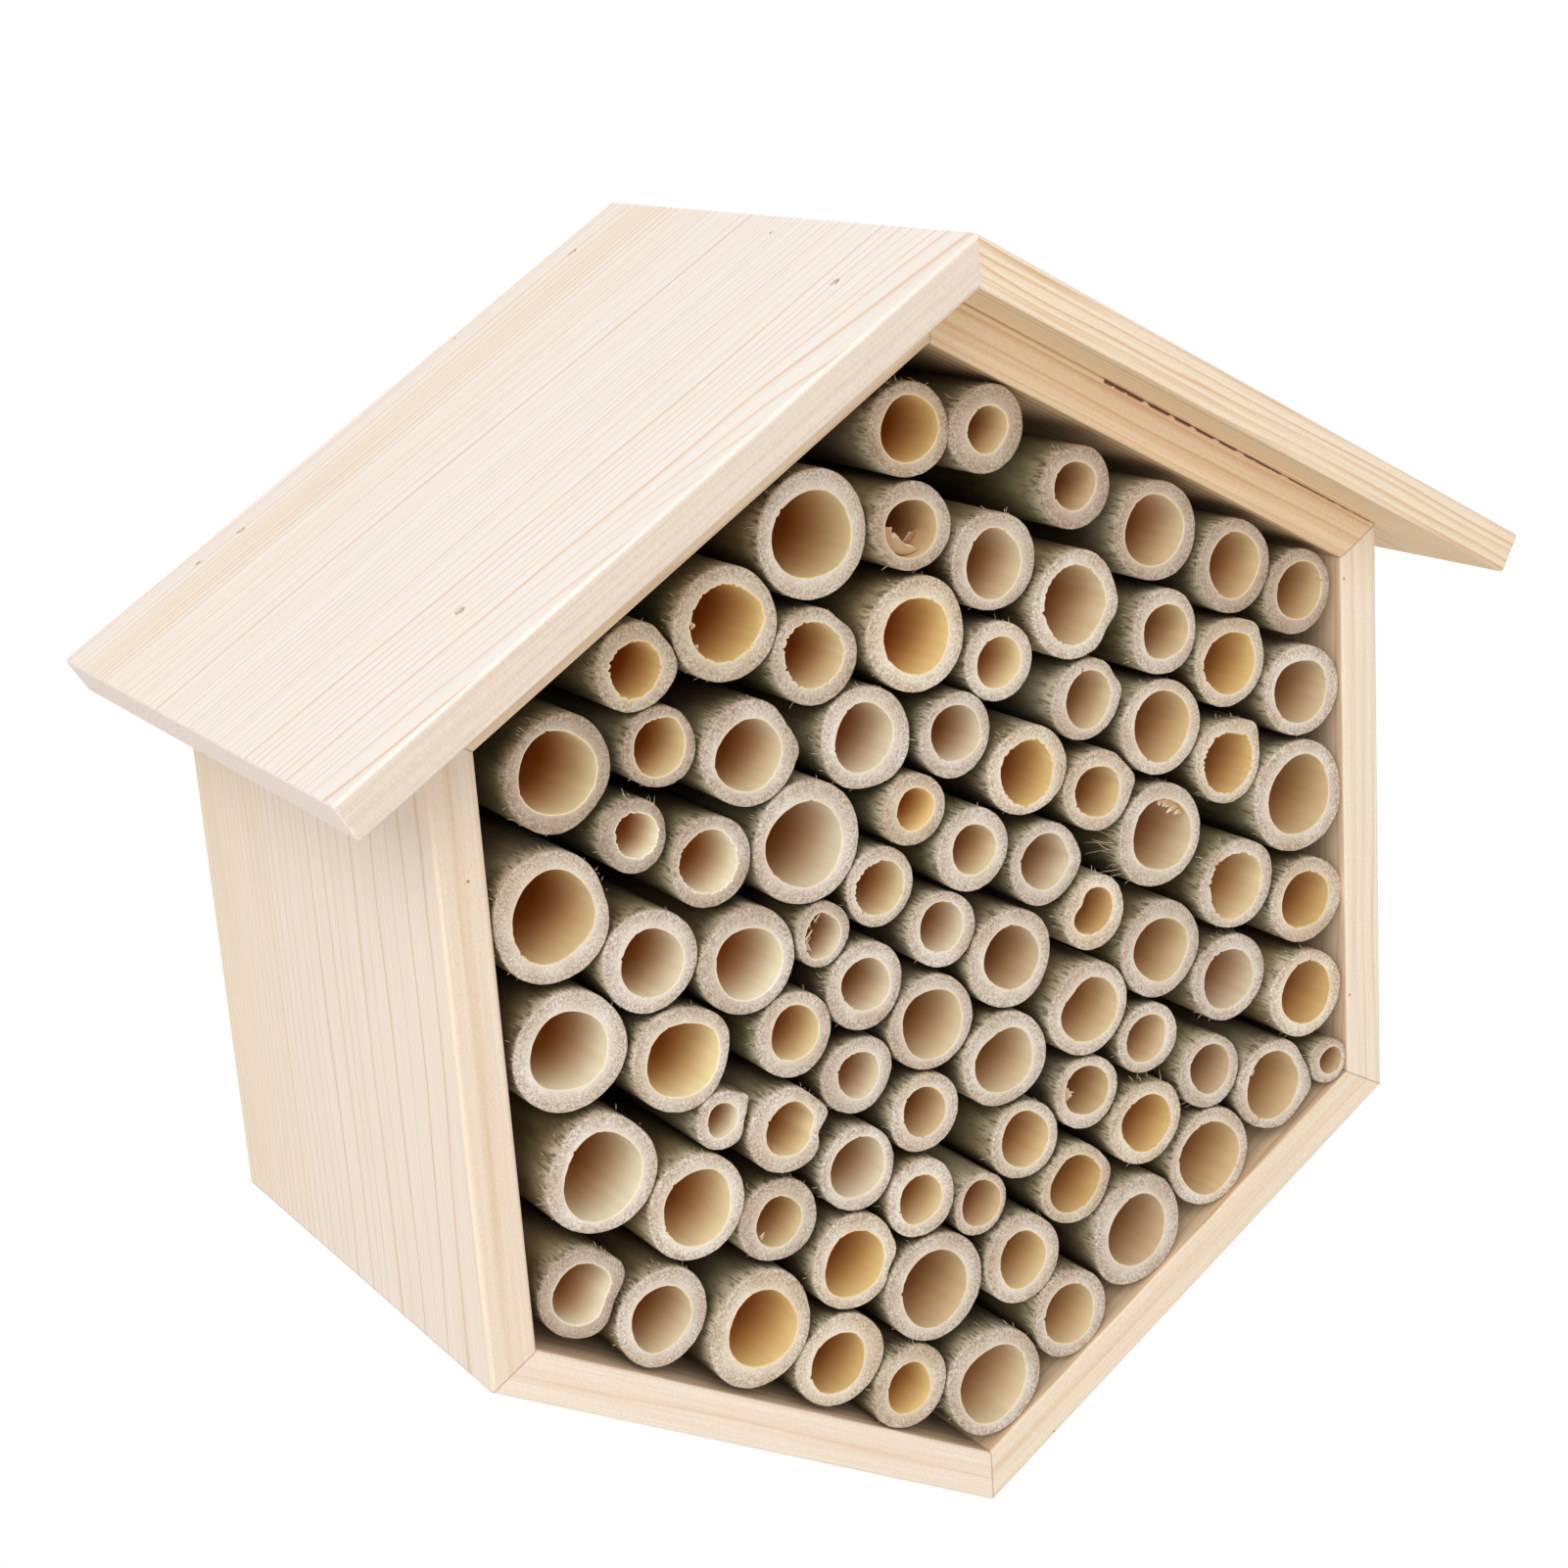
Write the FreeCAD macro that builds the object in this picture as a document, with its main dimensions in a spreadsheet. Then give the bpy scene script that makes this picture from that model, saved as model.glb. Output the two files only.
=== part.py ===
import FreeCAD, Part
import math
import os

import Sketcher

# Bee hotel: six mitred pine boards in a hexagon that stands on its point, a roof of two boards,
# a back panel with a keyhole, and loose bamboo canes stacked inside with their ends at the front.
# Millimetres. The origin is the centre of the back face, +Z is up and the open front faces -Y.

# Driving sizes
sizes = {
    "side_length": 105,        # hexagon, along the outside of one wall
    "board_thickness": 8,      # walls
    "box_depth": 100,          # walls, from back to front
    "roof_thickness": 7,
    "roof_slope": 128,         # roof board, along its top from the ridge to the eave
    "roof_overhang": 14,       # roof past the walls' front edges
    "arris_radius": 0.6,       # sanded edges of the boards
    "panel_thickness": 4,      # back panel, let in between the walls
    "keyhole_height": 48,      # keyhole's round entry, above the panel's centre
    "keyhole_entry": 10,       # width of the round entry
    "keyhole_slot": 5,         # width of the slot that the screw hangs in
    "keyhole_rise": 11,        # from the entry's centre up to the slot's end
    "brad_width": 1.6,
    "brad_sink": 0.6,          # brads are punched below the roof's face
    "brad_cover": 1.5,         # wood left under a brad's tip
    "brad_from_ridge": 10,     # upper brads, down the slope from the hexagon's top corner
    "brad_from_corner": 17,    # lower brads, up the slope from the hexagon's side corner
    "brad_from_edge": 7,       # brads, in from the walls' front and back edges
    "screw_room": 4,           # behind the canes, for the head of the screw that the house hangs on
    "cane_inset": 0.3,         # foremost cane, behind the walls' front edges
    "cane_spread": 1,          # how unevenly the cane ends stand
    "cane_gap": 0.4,           # clearance between canes, and between canes and walls
}

# Canes by thickness: place across and up from the hexagon's centre, outer width and bore,
# then the angle of the branch groove on those that have one. The stack is fitted to the walls.
cane_layout = {
    "canes_08mm": [(78.5, -45, 8.5, 5)],
    "canes_10mm": [(-27.5, 6, 10.5, 6.5), (-47.5, -19.5, 10, 5.5)],
    "canes_11mm": [(1, -49.5, 11, 8)],
    "canes_12mm": [(-59, 30, 12, 7), (-8.5, 23, 12.5, 7)],
    "canes_13mm": [
        (10, 44, 13.5, 8.5), (-53.5, 43, 13, 9), (-15.5, 11.5, 13.5, 9), (-4, 1.5, 13.5, 8.5),
        (26.5, -3, 13.5, 8, 140), (24, -35.5, 13.5, 9), (37.5, -29, 13, 8.5),
    ],
    "canes_14mm": [
        (26.5, 70, 14, 8), (-56, 55.5, 14, 8.5), (0.5, 33.5, 14.5, 9.5), (27.5, 34, 14.5, 9.5),
        (29, 18, 14.5, 9), (2.5, 13.5, 14.5, 8.5), (17.5, 7.5, 14.5, 9.5), (-33.5, -9, 14.5, 9),
        (-22, -19.5, 14, 8), (-9.5, -29.5, 14, 8.5), (-11.5, -44.5, 14, 8.5), (11, -41, 14.5, 10),
        (51, -39, 14, 9),
    ],
    "canes_15mm": [
        (-5, 84, 15.5, 10.5), (9.5, 82, 15, 7.5), (-5.5, 68.5, 15, 9.5), (74, 44, 15, 10),
        (44, 42.5, 15, 9.5), (-46, 23, 15, 10), (57.5, 17, 15.5, 10.5, 55), (-20, -4.5, 15, 9),
        (-37, -24.5, 15, 9, -35), (-39, -40, 15, 8.5), (-23.5, -35.5, 15, 10.5),
        (-75, -41.5, 15, 10, -35), (21.5, -53, 15, 10.5), (-15.5, -79, 15.5, 9),
    ],
    "canes_16mm": [
        (59.5, 51, 16.5, 11), (-25, 51.5, 16, 10.5), (58.5, 34.5, 16, 11), (14.5, 24.5, 16, 10.5),
        (58, -5.5, 16.5, 11.5), (74.5, -12.5, 16.5, 10.5), (56, -22.5, 16.5, 11), (36, -44.5, 16, 10.5),
        (9, -62.5, 16.5, 10), (19, -76, 16.5, 11),
    ],
    "canes_17mm": [
        (10, 60.5, 17, 11), (43, 60, 17.5, 12), (-38, 38.5, 17.5, 11.5), (-16, 37, 17.5, 11),
        (74, 26.5, 17, 11.5), (43, 26, 17, 12), (-57.5, 9.5, 17, 11), (9, -7, 17.5, 11),
        (-7, -14.5, 17, 12), (7, -24.5, 17.5, 11.5), (24.5, -20, 17, 11.5), (41, -13.5, 17.5, 11.5),
        (73.5, -30, 17, 11.5), (-61.5, -50, 17.5, 11), (-25, -52, 17, 11.5, -30),
        (66, -47, 17.5, 12.5, 5), (-29, -69, 17, 10.5),
    ],
    "canes_18mm": [
        (-40.5, 59.5, 18.5, 12), (25.5, 50.5, 18, 12.5, -60), (-70.5, 42, 18.5, 13), (-41.5, 5.5, 18, 12),
        (42, 7, 18.5, 12.5), (-54, -8.5, 18, 12.5), (-54, -33, 18, 12.5), (51, -56, 18.5, 13.5),
    ],
    "canes_19mm": [(-6.5, 51, 19.5, 12.5)],
    "canes_20mm": [
        (-23.5, 70.5, 20.5, 14), (-28.5, 22.5, 20.5, 14), (73, 7.5, 20.5, 14), (-73, -1.5, 20, 13),
        (-70, -22.5, 20.5, 14.5, 150), (-43.5, -58.5, 20, 13), (-9.5, -62, 20, 13.5), (1.5, -83.5, 20.5, 14),
    ],
    "canes_21mm": [(-73.5, 20, 21, 14), (34.5, -65, 21, 13)],
}
stack_shift = (0.7, -0.5)      # ends that stand back look too far left and high by this much
settle_rounds = 400            # passes that nudge the canes apart
groove_width_share = 0.7       # branch groove, of the cane's width
groove_depth_share = 0.07
uneven_step = 0.618            # spreads the cane ends without a pattern

# Walls clockwise from the top corner, with the angle that each outer face is turned from upright
roof_pitch = 30
wall_names = (
    "upper_right_wall", "right_wall", "lower_right_wall", "lower_left_wall", "left_wall", "upper_left_wall",
)
wall_angles = [roof_pitch + 360 / len(wall_names) * place for place in range(len(wall_names))]

doc = FreeCAD.newDocument("bee_hotel")
along_depth = FreeCAD.Vector(0, 1, 0)

# Expressions that several pieces share
inner_side = "(Sizes.side_length - 2 * Sizes.board_thickness / sqrt(3))"
outer_half_width = "(Sizes.side_length * sqrt(3) / 2)"
inner_half_width = f"({outer_half_width} - Sizes.board_thickness)"
ridge_setback = f"(Sizes.roof_thickness * tan({roof_pitch} deg))"
brad_depth = "(Sizes.roof_thickness + Sizes.board_thickness - Sizes.brad_cover)"
cane_room = "(Sizes.box_depth - Sizes.panel_thickness - Sizes.screw_room)"
cane_length = f"({cane_room} - Sizes.cane_inset - Sizes.cane_spread)"


def make_sheet():
    sheet = doc.addObject("Spreadsheet::Sheet", "Sizes")
    for row, (name, value) in enumerate(sizes.items(), 1):
        sheet.set(f"A{row}", name)
        sheet.set(f"B{row}", str(value))
        sheet.setAlias(f"B{row}", name)
    doc.recompute()
    return sheet


def front_sketch(body, name):
    # A sketch across the object, as seen from the front
    plane = next(feature for feature in body.Origin.OriginFeatures if feature.Role == "XZ_Plane")
    sketch = body.newObject("Sketcher::SketchObject", name)
    sketch.AttachmentSupport = [(plane, "")]
    sketch.MapMode = "FlatFace"
    return sketch


def draw_outline(sketch, corners):
    for start, end in zip(corners, corners[1:] + corners[:1]):
        sketch.addGeometry(Part.LineSegment(FreeCAD.Vector(*start, 0), FreeCAD.Vector(*end, 0)), False)
    for line in range(len(corners)):
        following = (line + 1) % len(corners)
        sketch.addConstraint(Sketcher.Constraint("Coincident", line, 2, following, 1))


def hold(sketch, name, expression, *constraint):
    # A named dimension of the sketch, tied to the sizes
    index = sketch.addConstraint(Sketcher.Constraint(*constraint))
    sketch.renameConstraint(index, name)
    sketch.setExpression(f"Constraints.{name}", expression)


def round_edges(body, pad, wanted):
    doc.recompute()
    names = [f"Edge{i}" for i, edge in enumerate(pad.Shape.Edges, 1) if wanted(edge)]
    fillet = body.newObject("PartDesign::Fillet", "Arrises")
    fillet.Base = (pad, names)
    fillet.setExpression("Radius", "Sizes.arris_radius")


def runs_along(edge, axis):
    step = edge.Vertexes[1].Point - edge.Vertexes[0].Point
    return abs(step.normalize().dot(axis)) > 0.999


def make_wall(name, angle):
    # Mitred board: a trapezium from front to back, drawn with its outer face up and then turned
    side, thickness = sizes["side_length"], sizes["board_thickness"]
    outer, inner = side / 2, side / 2 - thickness / math.sqrt(3)
    top = side * math.sqrt(3) / 2
    body = doc.addObject("PartDesign::Body", name)
    sketch = front_sketch(body, "Section")
    draw_outline(sketch, [(-outer, top), (outer, top), (inner, top - thickness), (-inner, top - thickness)])
    sketch.addConstraint(Sketcher.Constraint("Symmetric", 0, 1, 0, 2, -2))
    sketch.addConstraint(Sketcher.Constraint("Symmetric", 2, 1, 2, 2, -2))
    hold(sketch, "outer_side", "Sizes.side_length", "DistanceX", 0, 1, 0, 2, side)
    hold(sketch, "inner_side", inner_side, "DistanceX", 2, 2, 2, 1, 2 * inner)
    hold(sketch, "half_width", outer_half_width, "DistanceY", -1, 1, 0, 1, top)
    hold(sketch, "thickness", "Sizes.board_thickness", "DistanceY", 2, 1, 0, 2, thickness)
    pad = body.newObject("PartDesign::Pad", "Depth")
    pad.Profile = sketch
    pad.setExpression("Length", "Sizes.box_depth")
    round_edges(body, pad, lambda edge: runs_along(edge, FreeCAD.Vector(1, 0, 0)))
    body.Placement.Rotation = FreeCAD.Rotation(along_depth, angle)
    body.Label = name
    return body


def make_roof_board(name, hand):
    # Roof board: mitred upright at the ridge and square at the eave, drawn flat and then tilted
    thickness, slope = sizes["roof_thickness"], sizes["roof_slope"]
    setback = thickness * math.tan(math.radians(roof_pitch))
    eave = slope - setback
    corners = [(0, 0), (hand * eave, 0), (hand * eave, thickness), (-hand * setback, thickness)]
    body = doc.addObject("PartDesign::Body", name)
    sketch = front_sketch(body, "Section")
    draw_outline(sketch, corners)
    sketch.addConstraint(Sketcher.Constraint("Coincident", 0, 1, -1, 1))
    sketch.addConstraint(Sketcher.Constraint("Horizontal", 0))
    sketch.addConstraint(Sketcher.Constraint("Vertical", 1))
    sketch.addConstraint(Sketcher.Constraint("Horizontal", 2))
    hold(sketch, "thickness", "Sizes.roof_thickness", "DistanceY", 1, 1, 1, 2, thickness)
    eave_end, ridge_end = (2, 1), (2, 2)
    left_end, right_end = (ridge_end, eave_end) if hand > 0 else (eave_end, ridge_end)
    hold(sketch, "slope", "Sizes.roof_slope", "DistanceX", *left_end, *right_end, slope)
    foot = (0, 1)
    left_end, right_end = (ridge_end, foot) if hand > 0 else (foot, ridge_end)
    hold(sketch, "setback", ridge_setback, "DistanceX", *left_end, *right_end, setback)
    pad = body.newObject("PartDesign::Pad", "Depth")
    pad.Profile = sketch
    pad.setExpression("Length", "Sizes.box_depth + Sizes.roof_overhang")

    def is_arris(edge):
        at_eave = all(abs(point.X - hand * eave) < 0.001 for point in edge.Vertexes)
        return at_eave or runs_along(edge, FreeCAD.Vector(1, 0, 0))

    round_edges(body, pad, is_arris)
    body.Placement.Rotation = FreeCAD.Rotation(along_depth, hand * roof_pitch)
    body.setExpression("Placement.Base.z", "Sizes.side_length")
    body.Label = name
    return body


def roof_pins(name, hand, height):
    # Four pins square to the roof board, from their tips in the wall up to the given height
    lean_out, lean_up = f"sin({roof_pitch} deg)", f"cos({roof_pitch} deg)"
    tip = f"({brad_depth} - Sizes.roof_thickness)"
    pins = []
    for down in ("Sizes.brad_from_ridge", "(Sizes.side_length - Sizes.brad_from_corner)"):
        for back in ("Sizes.brad_from_edge", "(Sizes.box_depth - Sizes.brad_from_edge)"):
            pin = doc.addObject("Part::Cylinder", f"{name}_{len(pins) + 1}")
            pin.setExpression("Radius", "Sizes.brad_width / 2")
            pin.setExpression("Height", height)
            pin.Placement.Rotation = FreeCAD.Rotation(along_depth, hand * roof_pitch)
            fall = f"({down} * {lean_out} + {tip} * {lean_up})"
            pin.setExpression("Placement.Base.x", f"{hand} * ({down} * {lean_up} - {tip} * {lean_out})")
            pin.setExpression("Placement.Base.y", f"-{back}")
            pin.setExpression("Placement.Base.z", f"Sizes.side_length - {fall}")
            pins.append(pin)
    group = doc.addObject("Part::Compound", name)
    group.Links = pins
    group.Label = name
    return group


def cut(name, base, tool):
    result = doc.addObject("Part::Cut", name)
    result.Base = base
    result.Tool = tool
    result.Label = name
    return result


def make_back_panel():
    # Hexagon let in between the walls, with a keyhole: a round entry and a narrow slot above it
    towards_front = FreeCAD.Rotation(FreeCAD.Vector(1, 0, 0), 90)
    plate = doc.addObject("Part::Prism", "panel_plate")
    plate.Polygon = 6
    plate.setExpression("Circumradius", inner_side)
    plate.setExpression("Height", "Sizes.panel_thickness")
    plate.Placement.Rotation = towards_front * FreeCAD.Rotation(FreeCAD.Vector(0, 0, 1), 30)
    slot_height = "(Sizes.keyhole_rise - Sizes.keyhole_slot / 2)"
    holes = []
    for name, width, height in (
        ("keyhole_round", "Sizes.keyhole_entry", "Sizes.keyhole_height"),
        ("keyhole_end", "Sizes.keyhole_slot", f"Sizes.keyhole_height + {slot_height}"),
    ):
        hole = doc.addObject("Part::Cylinder", name)
        hole.setExpression("Radius", f"{width} / 2")
        hole.setExpression("Height", "Sizes.panel_thickness")
        hole.Placement.Rotation = towards_front
        hole.setExpression("Placement.Base.z", height)
        holes.append(hole)
    slot = doc.addObject("Part::Box", "keyhole_slot")
    slot.setExpression("Length", "Sizes.keyhole_slot")
    slot.setExpression("Width", "Sizes.panel_thickness")
    slot.setExpression("Height", slot_height)
    slot.setExpression("Placement.Base.x", "-Sizes.keyhole_slot / 2")
    slot.setExpression("Placement.Base.y", "-Sizes.panel_thickness")
    slot.setExpression("Placement.Base.z", "Sizes.keyhole_height")
    keyhole = doc.addObject("Part::MultiFuse", "keyhole")
    keyhole.Shapes = holes + [slot]
    return cut("back_panel", plate, keyhole)


def settle(canes):
    # Nudge the canes apart, and in from the walls, until none overlaps; a cane that still has
    # too little room at the end is pared down to it. Each cane is its place and half its width.
    # The walls stand where the stack reaches on average, and that half-width is returned.
    normals = [(math.sin(math.radians(angle)), math.cos(math.radians(angle))) for angle in wall_angles]
    reaches = [max(c[0] * across + c[1] * up + c[2] for c in canes) for across, up in normals]
    half_width = sum(reaches) / len(reaches)
    pairs = [(a, b) for i, a in enumerate(canes) for b in canes[i + 1:]]
    for _ in range(settle_rounds):
        for a, b in pairs:
            across, up = b[0] - a[0], b[1] - a[1]
            apart = math.hypot(across, up)
            overlap = a[2] + b[2] - apart
            if overlap > 0:
                share = overlap / apart / 2
                a[0] -= across * share
                a[1] -= up * share
                b[0] += across * share
                b[1] += up * share
        for cane in canes:
            for across, up in normals:
                past = cane[0] * across + cane[1] * up + cane[2] - half_width
                if past > 0:
                    cane[0] -= across * past
                    cane[1] -= up * past
    for a, b in pairs:
        overlap = a[2] + b[2] - math.hypot(b[0] - a[0], b[1] - a[1])
        if overlap > 0:
            a[2] -= overlap / 2
            b[2] -= overlap / 2
    for cane in canes:
        reach = max(cane[0] * across + cane[1] * up for across, up in normals)
        cane[2] = min(cane[2], half_width - reach)
    return half_width


def make_cane(name, shares, groove, number):
    # Tube with sawn ends; its place and widths are shares of the inside, so the stack follows the walls
    across, up, outer, bore = [f"{share:.5f} * {inner_half_width}" for share in shares]
    outer_radius = f"({outer} - Sizes.cane_gap / 2)"
    culm = doc.addObject("Part::Cylinder", f"{name}_culm")
    culm.setExpression("Radius", outer_radius)
    culm.setExpression("Height", cane_length)
    hollow = doc.addObject("Part::Cylinder", f"{name}_hollow")
    hollow.setExpression("Radius", bore)
    hollow.setExpression("Height", cane_length)
    if groove:
        angle = groove[0]
        groove_radius = f"({groove_width_share} * {outer_radius})"
        away = f"({outer_radius} * (1 - {2 * groove_depth_share}) + {groove_radius})"
        scar = doc.addObject("Part::Cylinder", f"{name}_scar")
        scar.setExpression("Radius", groove_radius)
        scar.setExpression("Height", cane_length)
        scar.setExpression("Placement.Base.x", f"{away} * cos({angle} deg)")
        scar.setExpression("Placement.Base.y", f"{away} * sin({angle} deg)")
        culm = cut(f"{name}_grooved", culm, scar)
    cane = cut(name, culm, hollow)
    cane.Placement.Rotation = FreeCAD.Rotation(FreeCAD.Vector(1, 0, 0), 90)
    uneven = number * uneven_step % 1
    front = f"(Sizes.box_depth - Sizes.cane_inset - {uneven:.3f} * Sizes.cane_spread)"
    cane.setExpression("Placement.Base.x", across)
    cane.setExpression("Placement.Base.y", f"{cane_length} - {front}")
    cane.setExpression("Placement.Base.z", up)
    return cane


def make_canes():
    listed = [(group, entry) for group, entries in cane_layout.items() for entry in entries]
    right, rise = stack_shift
    places = [[across + right, up + rise, outer / 2] for _, (across, up, outer, *_) in listed]
    half_width = settle(places)
    grouped = {group: [] for group in cane_layout}
    for number, ((group, entry), place) in enumerate(zip(listed, places)):
        shares = [value / half_width for value in (*place, entry[3] / 2)]
        grouped[group].append(make_cane(f"cane_{number + 1}", shares, entry[4:], number))
    nodes = []
    for group, canes in grouped.items():
        node = doc.addObject("Part::Compound", group)
        node.Links = canes
        node.Label = group
        nodes.append(node)
    return nodes


def make_frame():
    walls = {name: make_wall(name, angle) for name, angle in zip(wall_names, wall_angles)}
    nodes = [make_back_panel()]
    for side, hand in (("left", -1), ("right", 1)):
        brads = roof_pins(f"{side}_roof_brads", hand, f"{brad_depth} - Sizes.brad_sink")
        holes = roof_pins(f"{side}_brad_holes", hand, brad_depth)
        board = make_roof_board(f"{side}_roof_blank", hand)
        wall = walls.pop(f"upper_{side}_wall")
        wall.Label = f"upper_{side}_blank"
        nodes += [cut(f"{side}_roof_board", board, holes), cut(f"upper_{side}_wall", wall, holes), brads]
    return nodes + list(walls.values())


def check_objects():
    for item in doc.Objects:
        if "Invalid" in item.State or "Error" in item.State:
            raise RuntimeError(f"{item.Label} failed: {item.State}")


def write_parts(nodes):
    os.makedirs("parts", exist_ok=True)
    for node in nodes:
        shape = node.Shape
        if shape.isNull() or not shape.isValid():
            raise RuntimeError(f"{node.Label} has no valid shape")
    for node in nodes:
        print(f"{node.Label}: {len(node.Shape.Solids)} solids, {node.Shape.Volume:.0f} mm3")
        node.Shape.exportStep(f"parts/{node.Label}.step")


make_sheet()
pieces = make_frame() + make_canes()
doc.recompute()
check_objects()
write_parts(pieces)
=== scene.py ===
import math

import bpy
import numpy as np
from mathutils import Matrix, Vector


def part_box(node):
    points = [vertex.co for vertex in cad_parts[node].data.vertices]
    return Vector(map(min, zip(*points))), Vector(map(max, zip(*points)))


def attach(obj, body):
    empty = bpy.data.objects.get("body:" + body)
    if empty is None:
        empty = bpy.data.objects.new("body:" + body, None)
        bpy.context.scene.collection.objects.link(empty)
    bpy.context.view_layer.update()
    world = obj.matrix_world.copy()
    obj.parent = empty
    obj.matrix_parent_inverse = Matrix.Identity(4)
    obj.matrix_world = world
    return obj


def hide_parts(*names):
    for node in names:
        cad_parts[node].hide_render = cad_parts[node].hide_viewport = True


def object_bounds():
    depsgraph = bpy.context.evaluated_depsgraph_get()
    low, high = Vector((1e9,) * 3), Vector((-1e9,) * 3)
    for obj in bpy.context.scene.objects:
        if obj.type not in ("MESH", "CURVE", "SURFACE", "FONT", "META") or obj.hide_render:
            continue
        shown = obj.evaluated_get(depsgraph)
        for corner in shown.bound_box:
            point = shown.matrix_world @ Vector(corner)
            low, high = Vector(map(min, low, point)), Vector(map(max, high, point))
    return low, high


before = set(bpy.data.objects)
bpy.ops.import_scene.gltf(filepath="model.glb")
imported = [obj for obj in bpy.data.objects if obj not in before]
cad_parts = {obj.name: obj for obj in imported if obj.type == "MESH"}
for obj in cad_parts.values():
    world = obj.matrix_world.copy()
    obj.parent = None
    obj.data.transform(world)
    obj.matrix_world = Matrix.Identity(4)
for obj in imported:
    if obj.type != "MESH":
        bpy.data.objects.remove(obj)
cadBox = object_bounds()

# Bee hotel: pine boards over an open hexagon of sawn bamboo canes. Lengths below are in mm.
mm = 0.001
# settings of a Mix node that lays one colour over another, and of one that multiplies them
mixed = {"data_type": "RGBA"}
darkened = {"data_type": "RGBA", "blend_type": "MULTIPLY"}
print("frame loaded:", len(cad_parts), "solids")


def linear(hexColour):
    # sRGB hex to linear light: the usual power curve with its straight toe
    parts = np.array([int(hexColour[i:i + 2], 16) for i in (1, 3, 5)]) / 255
    curve = np.where(parts <= 0.04045, parts / 12.92, ((parts + 0.055) / 1.055) ** 2.4)
    return (*curve.tolist(), 1.0)


def live(source):
    # a socket as it is; of a node, its factor or else its first output in use
    if not hasattr(source, "outputs"):
        return source
    return source.outputs.get("Fac") or next(socket for socket in source.outputs if socket.enabled)


def addNode(tree, kind, settings=None, **links):
    # one shader node; its kind may end in its operation. Settings fill its properties or sockets, span a
    # range's from and to, and stops a ramp's colours; links join its sockets, by name or as i0, i1 ...
    # for a place, to other sockets or nodes, or set them to a number
    kind, _, operation = kind.partition(" ")
    node = tree.nodes.new("ShaderNode" + kind)
    if operation:
        node.operation = operation
    for name, value in (settings or {}).items():
        if name == "span":
            for socket, end in zip(("From Min", "From Max", "To Min", "To Max"), value):
                node.inputs[socket].default_value = end
        elif name == "stops":
            band = node.color_ramp.elements
            while len(band) < len(value):
                band.new(0.5)
            for stop, (place, colour) in zip(band, value):
                stop.position = place
                stop.color = linear(colour)
        elif isinstance(name, int) or not hasattr(node, name):
            node.inputs[name].default_value = value
        else:
            setattr(node, name, value)
    for name, source in links.items():
        socket = node.inputs[int(name[1:]) if name[1:].isdigit() else name]
        if isinstance(source, float):
            socket.default_value = source
        else:
            tree.links.new(live(source), socket)
    return node


def overlay(tree, under, colour, value, span, how=mixed):
    # a colour laid over another, by how far a value has run through a span
    much = addNode(tree, "MapRange", {"span": span}, Value=value)
    return addNode(tree, "Mix", {**how, 7: linear(colour)}, i0=much, i6=under)


def shaded(tree, under, pattern, stops, much=1.0):
    # a colour darkened by the shades of a pattern
    shades = addNode(tree, "ValToRGB", {"stops": stops}, Fac=pattern)
    return addNode(tree, "Mix", darkened, i0=much, i6=under, i7=shades)


def perSize(*sizes, unit=mm):
    # a pattern's scale from its real sizes in mm: for coordinates in metres, or in mm where unit is 1
    return [1 / (size * unit) for size in sizes]


def newMaterial(name):
    # a material with its node tree and its shader
    material = bpy.data.materials.new(name)
    material.use_nodes = True
    tree = material.node_tree
    return material, tree, tree.nodes["Principled BSDF"]


def finishMaterial(tree, shader, colour, rough, height=None, relief=0.0, reliefBy=0.0):
    # colour and gloss into the shader, and bumps as deep as relief where a height is given
    tree.links.new(live(colour), shader.inputs["Base Color"])
    shader.inputs["Roughness"].default_value = rough
    if height is not None:
        bump = addNode(tree, "Bump", {"Strength": reliefBy, "Distance": relief * mm}, Height=height)
        tree.links.new(live(bump), shader.inputs["Normal"])


# Camera, at the photograph's viewing angle
cameraLook = {
    "place": (-244.4, -459.7, 157.1), "azimuth": -30.60, "elevation": 16.67, "roll": 4.16,
    "lens": 64.94, "sensor": 36, "nearest": 10,
}


def makeCamera(look):
    # aimed by azimuth and elevation, then rolled about its own axis
    azimuth, elevation = math.radians(look["azimuth"]), math.radians(look["elevation"])
    level = math.cos(elevation)
    forward = Vector((-math.sin(azimuth) * level, math.cos(azimuth) * level, -math.sin(elevation)))
    roll = Matrix.Rotation(-math.radians(look["roll"]), 3, "Z")
    aim = forward.to_track_quat("-Z", "Y").to_matrix() @ roll
    lens = bpy.data.cameras.new("camera")
    lens.lens = look["lens"]
    lens.sensor_width = look["sensor"]
    lens.clip_start = look["nearest"] * mm
    camera = bpy.data.objects.new("camera", lens)
    camera.matrix_world = Matrix.Translation(Vector(look["place"]) * mm) @ aim.to_4x4()
    bpy.context.scene.collection.objects.link(camera)
    bpy.context.scene.camera = camera


# Studio: white all round, a big soft key lamp from the left, a second above the camera and a weak low bounce
studioLook = {
    "floorDrop": 900, "floorSize": 12000, "floorColour": "#EDEBE8", "floorRough": 0.9,
    "white": "#FFFFFF", "worldColour": "#FFFDFA", "worldStrength": 0.63, "lampColour": "#FFFCF7",
    "lamps": {
        "key": {"place": (-1560, -1200, 1368), "size": 1500, "power": 17},
        "front": {"place": (-950, -1900, 1350), "size": 1500, "power": 16},
        "bounce": {"place": (-700, -1700, -600), "size": 1200, "power": 5},
    },
}


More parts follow.
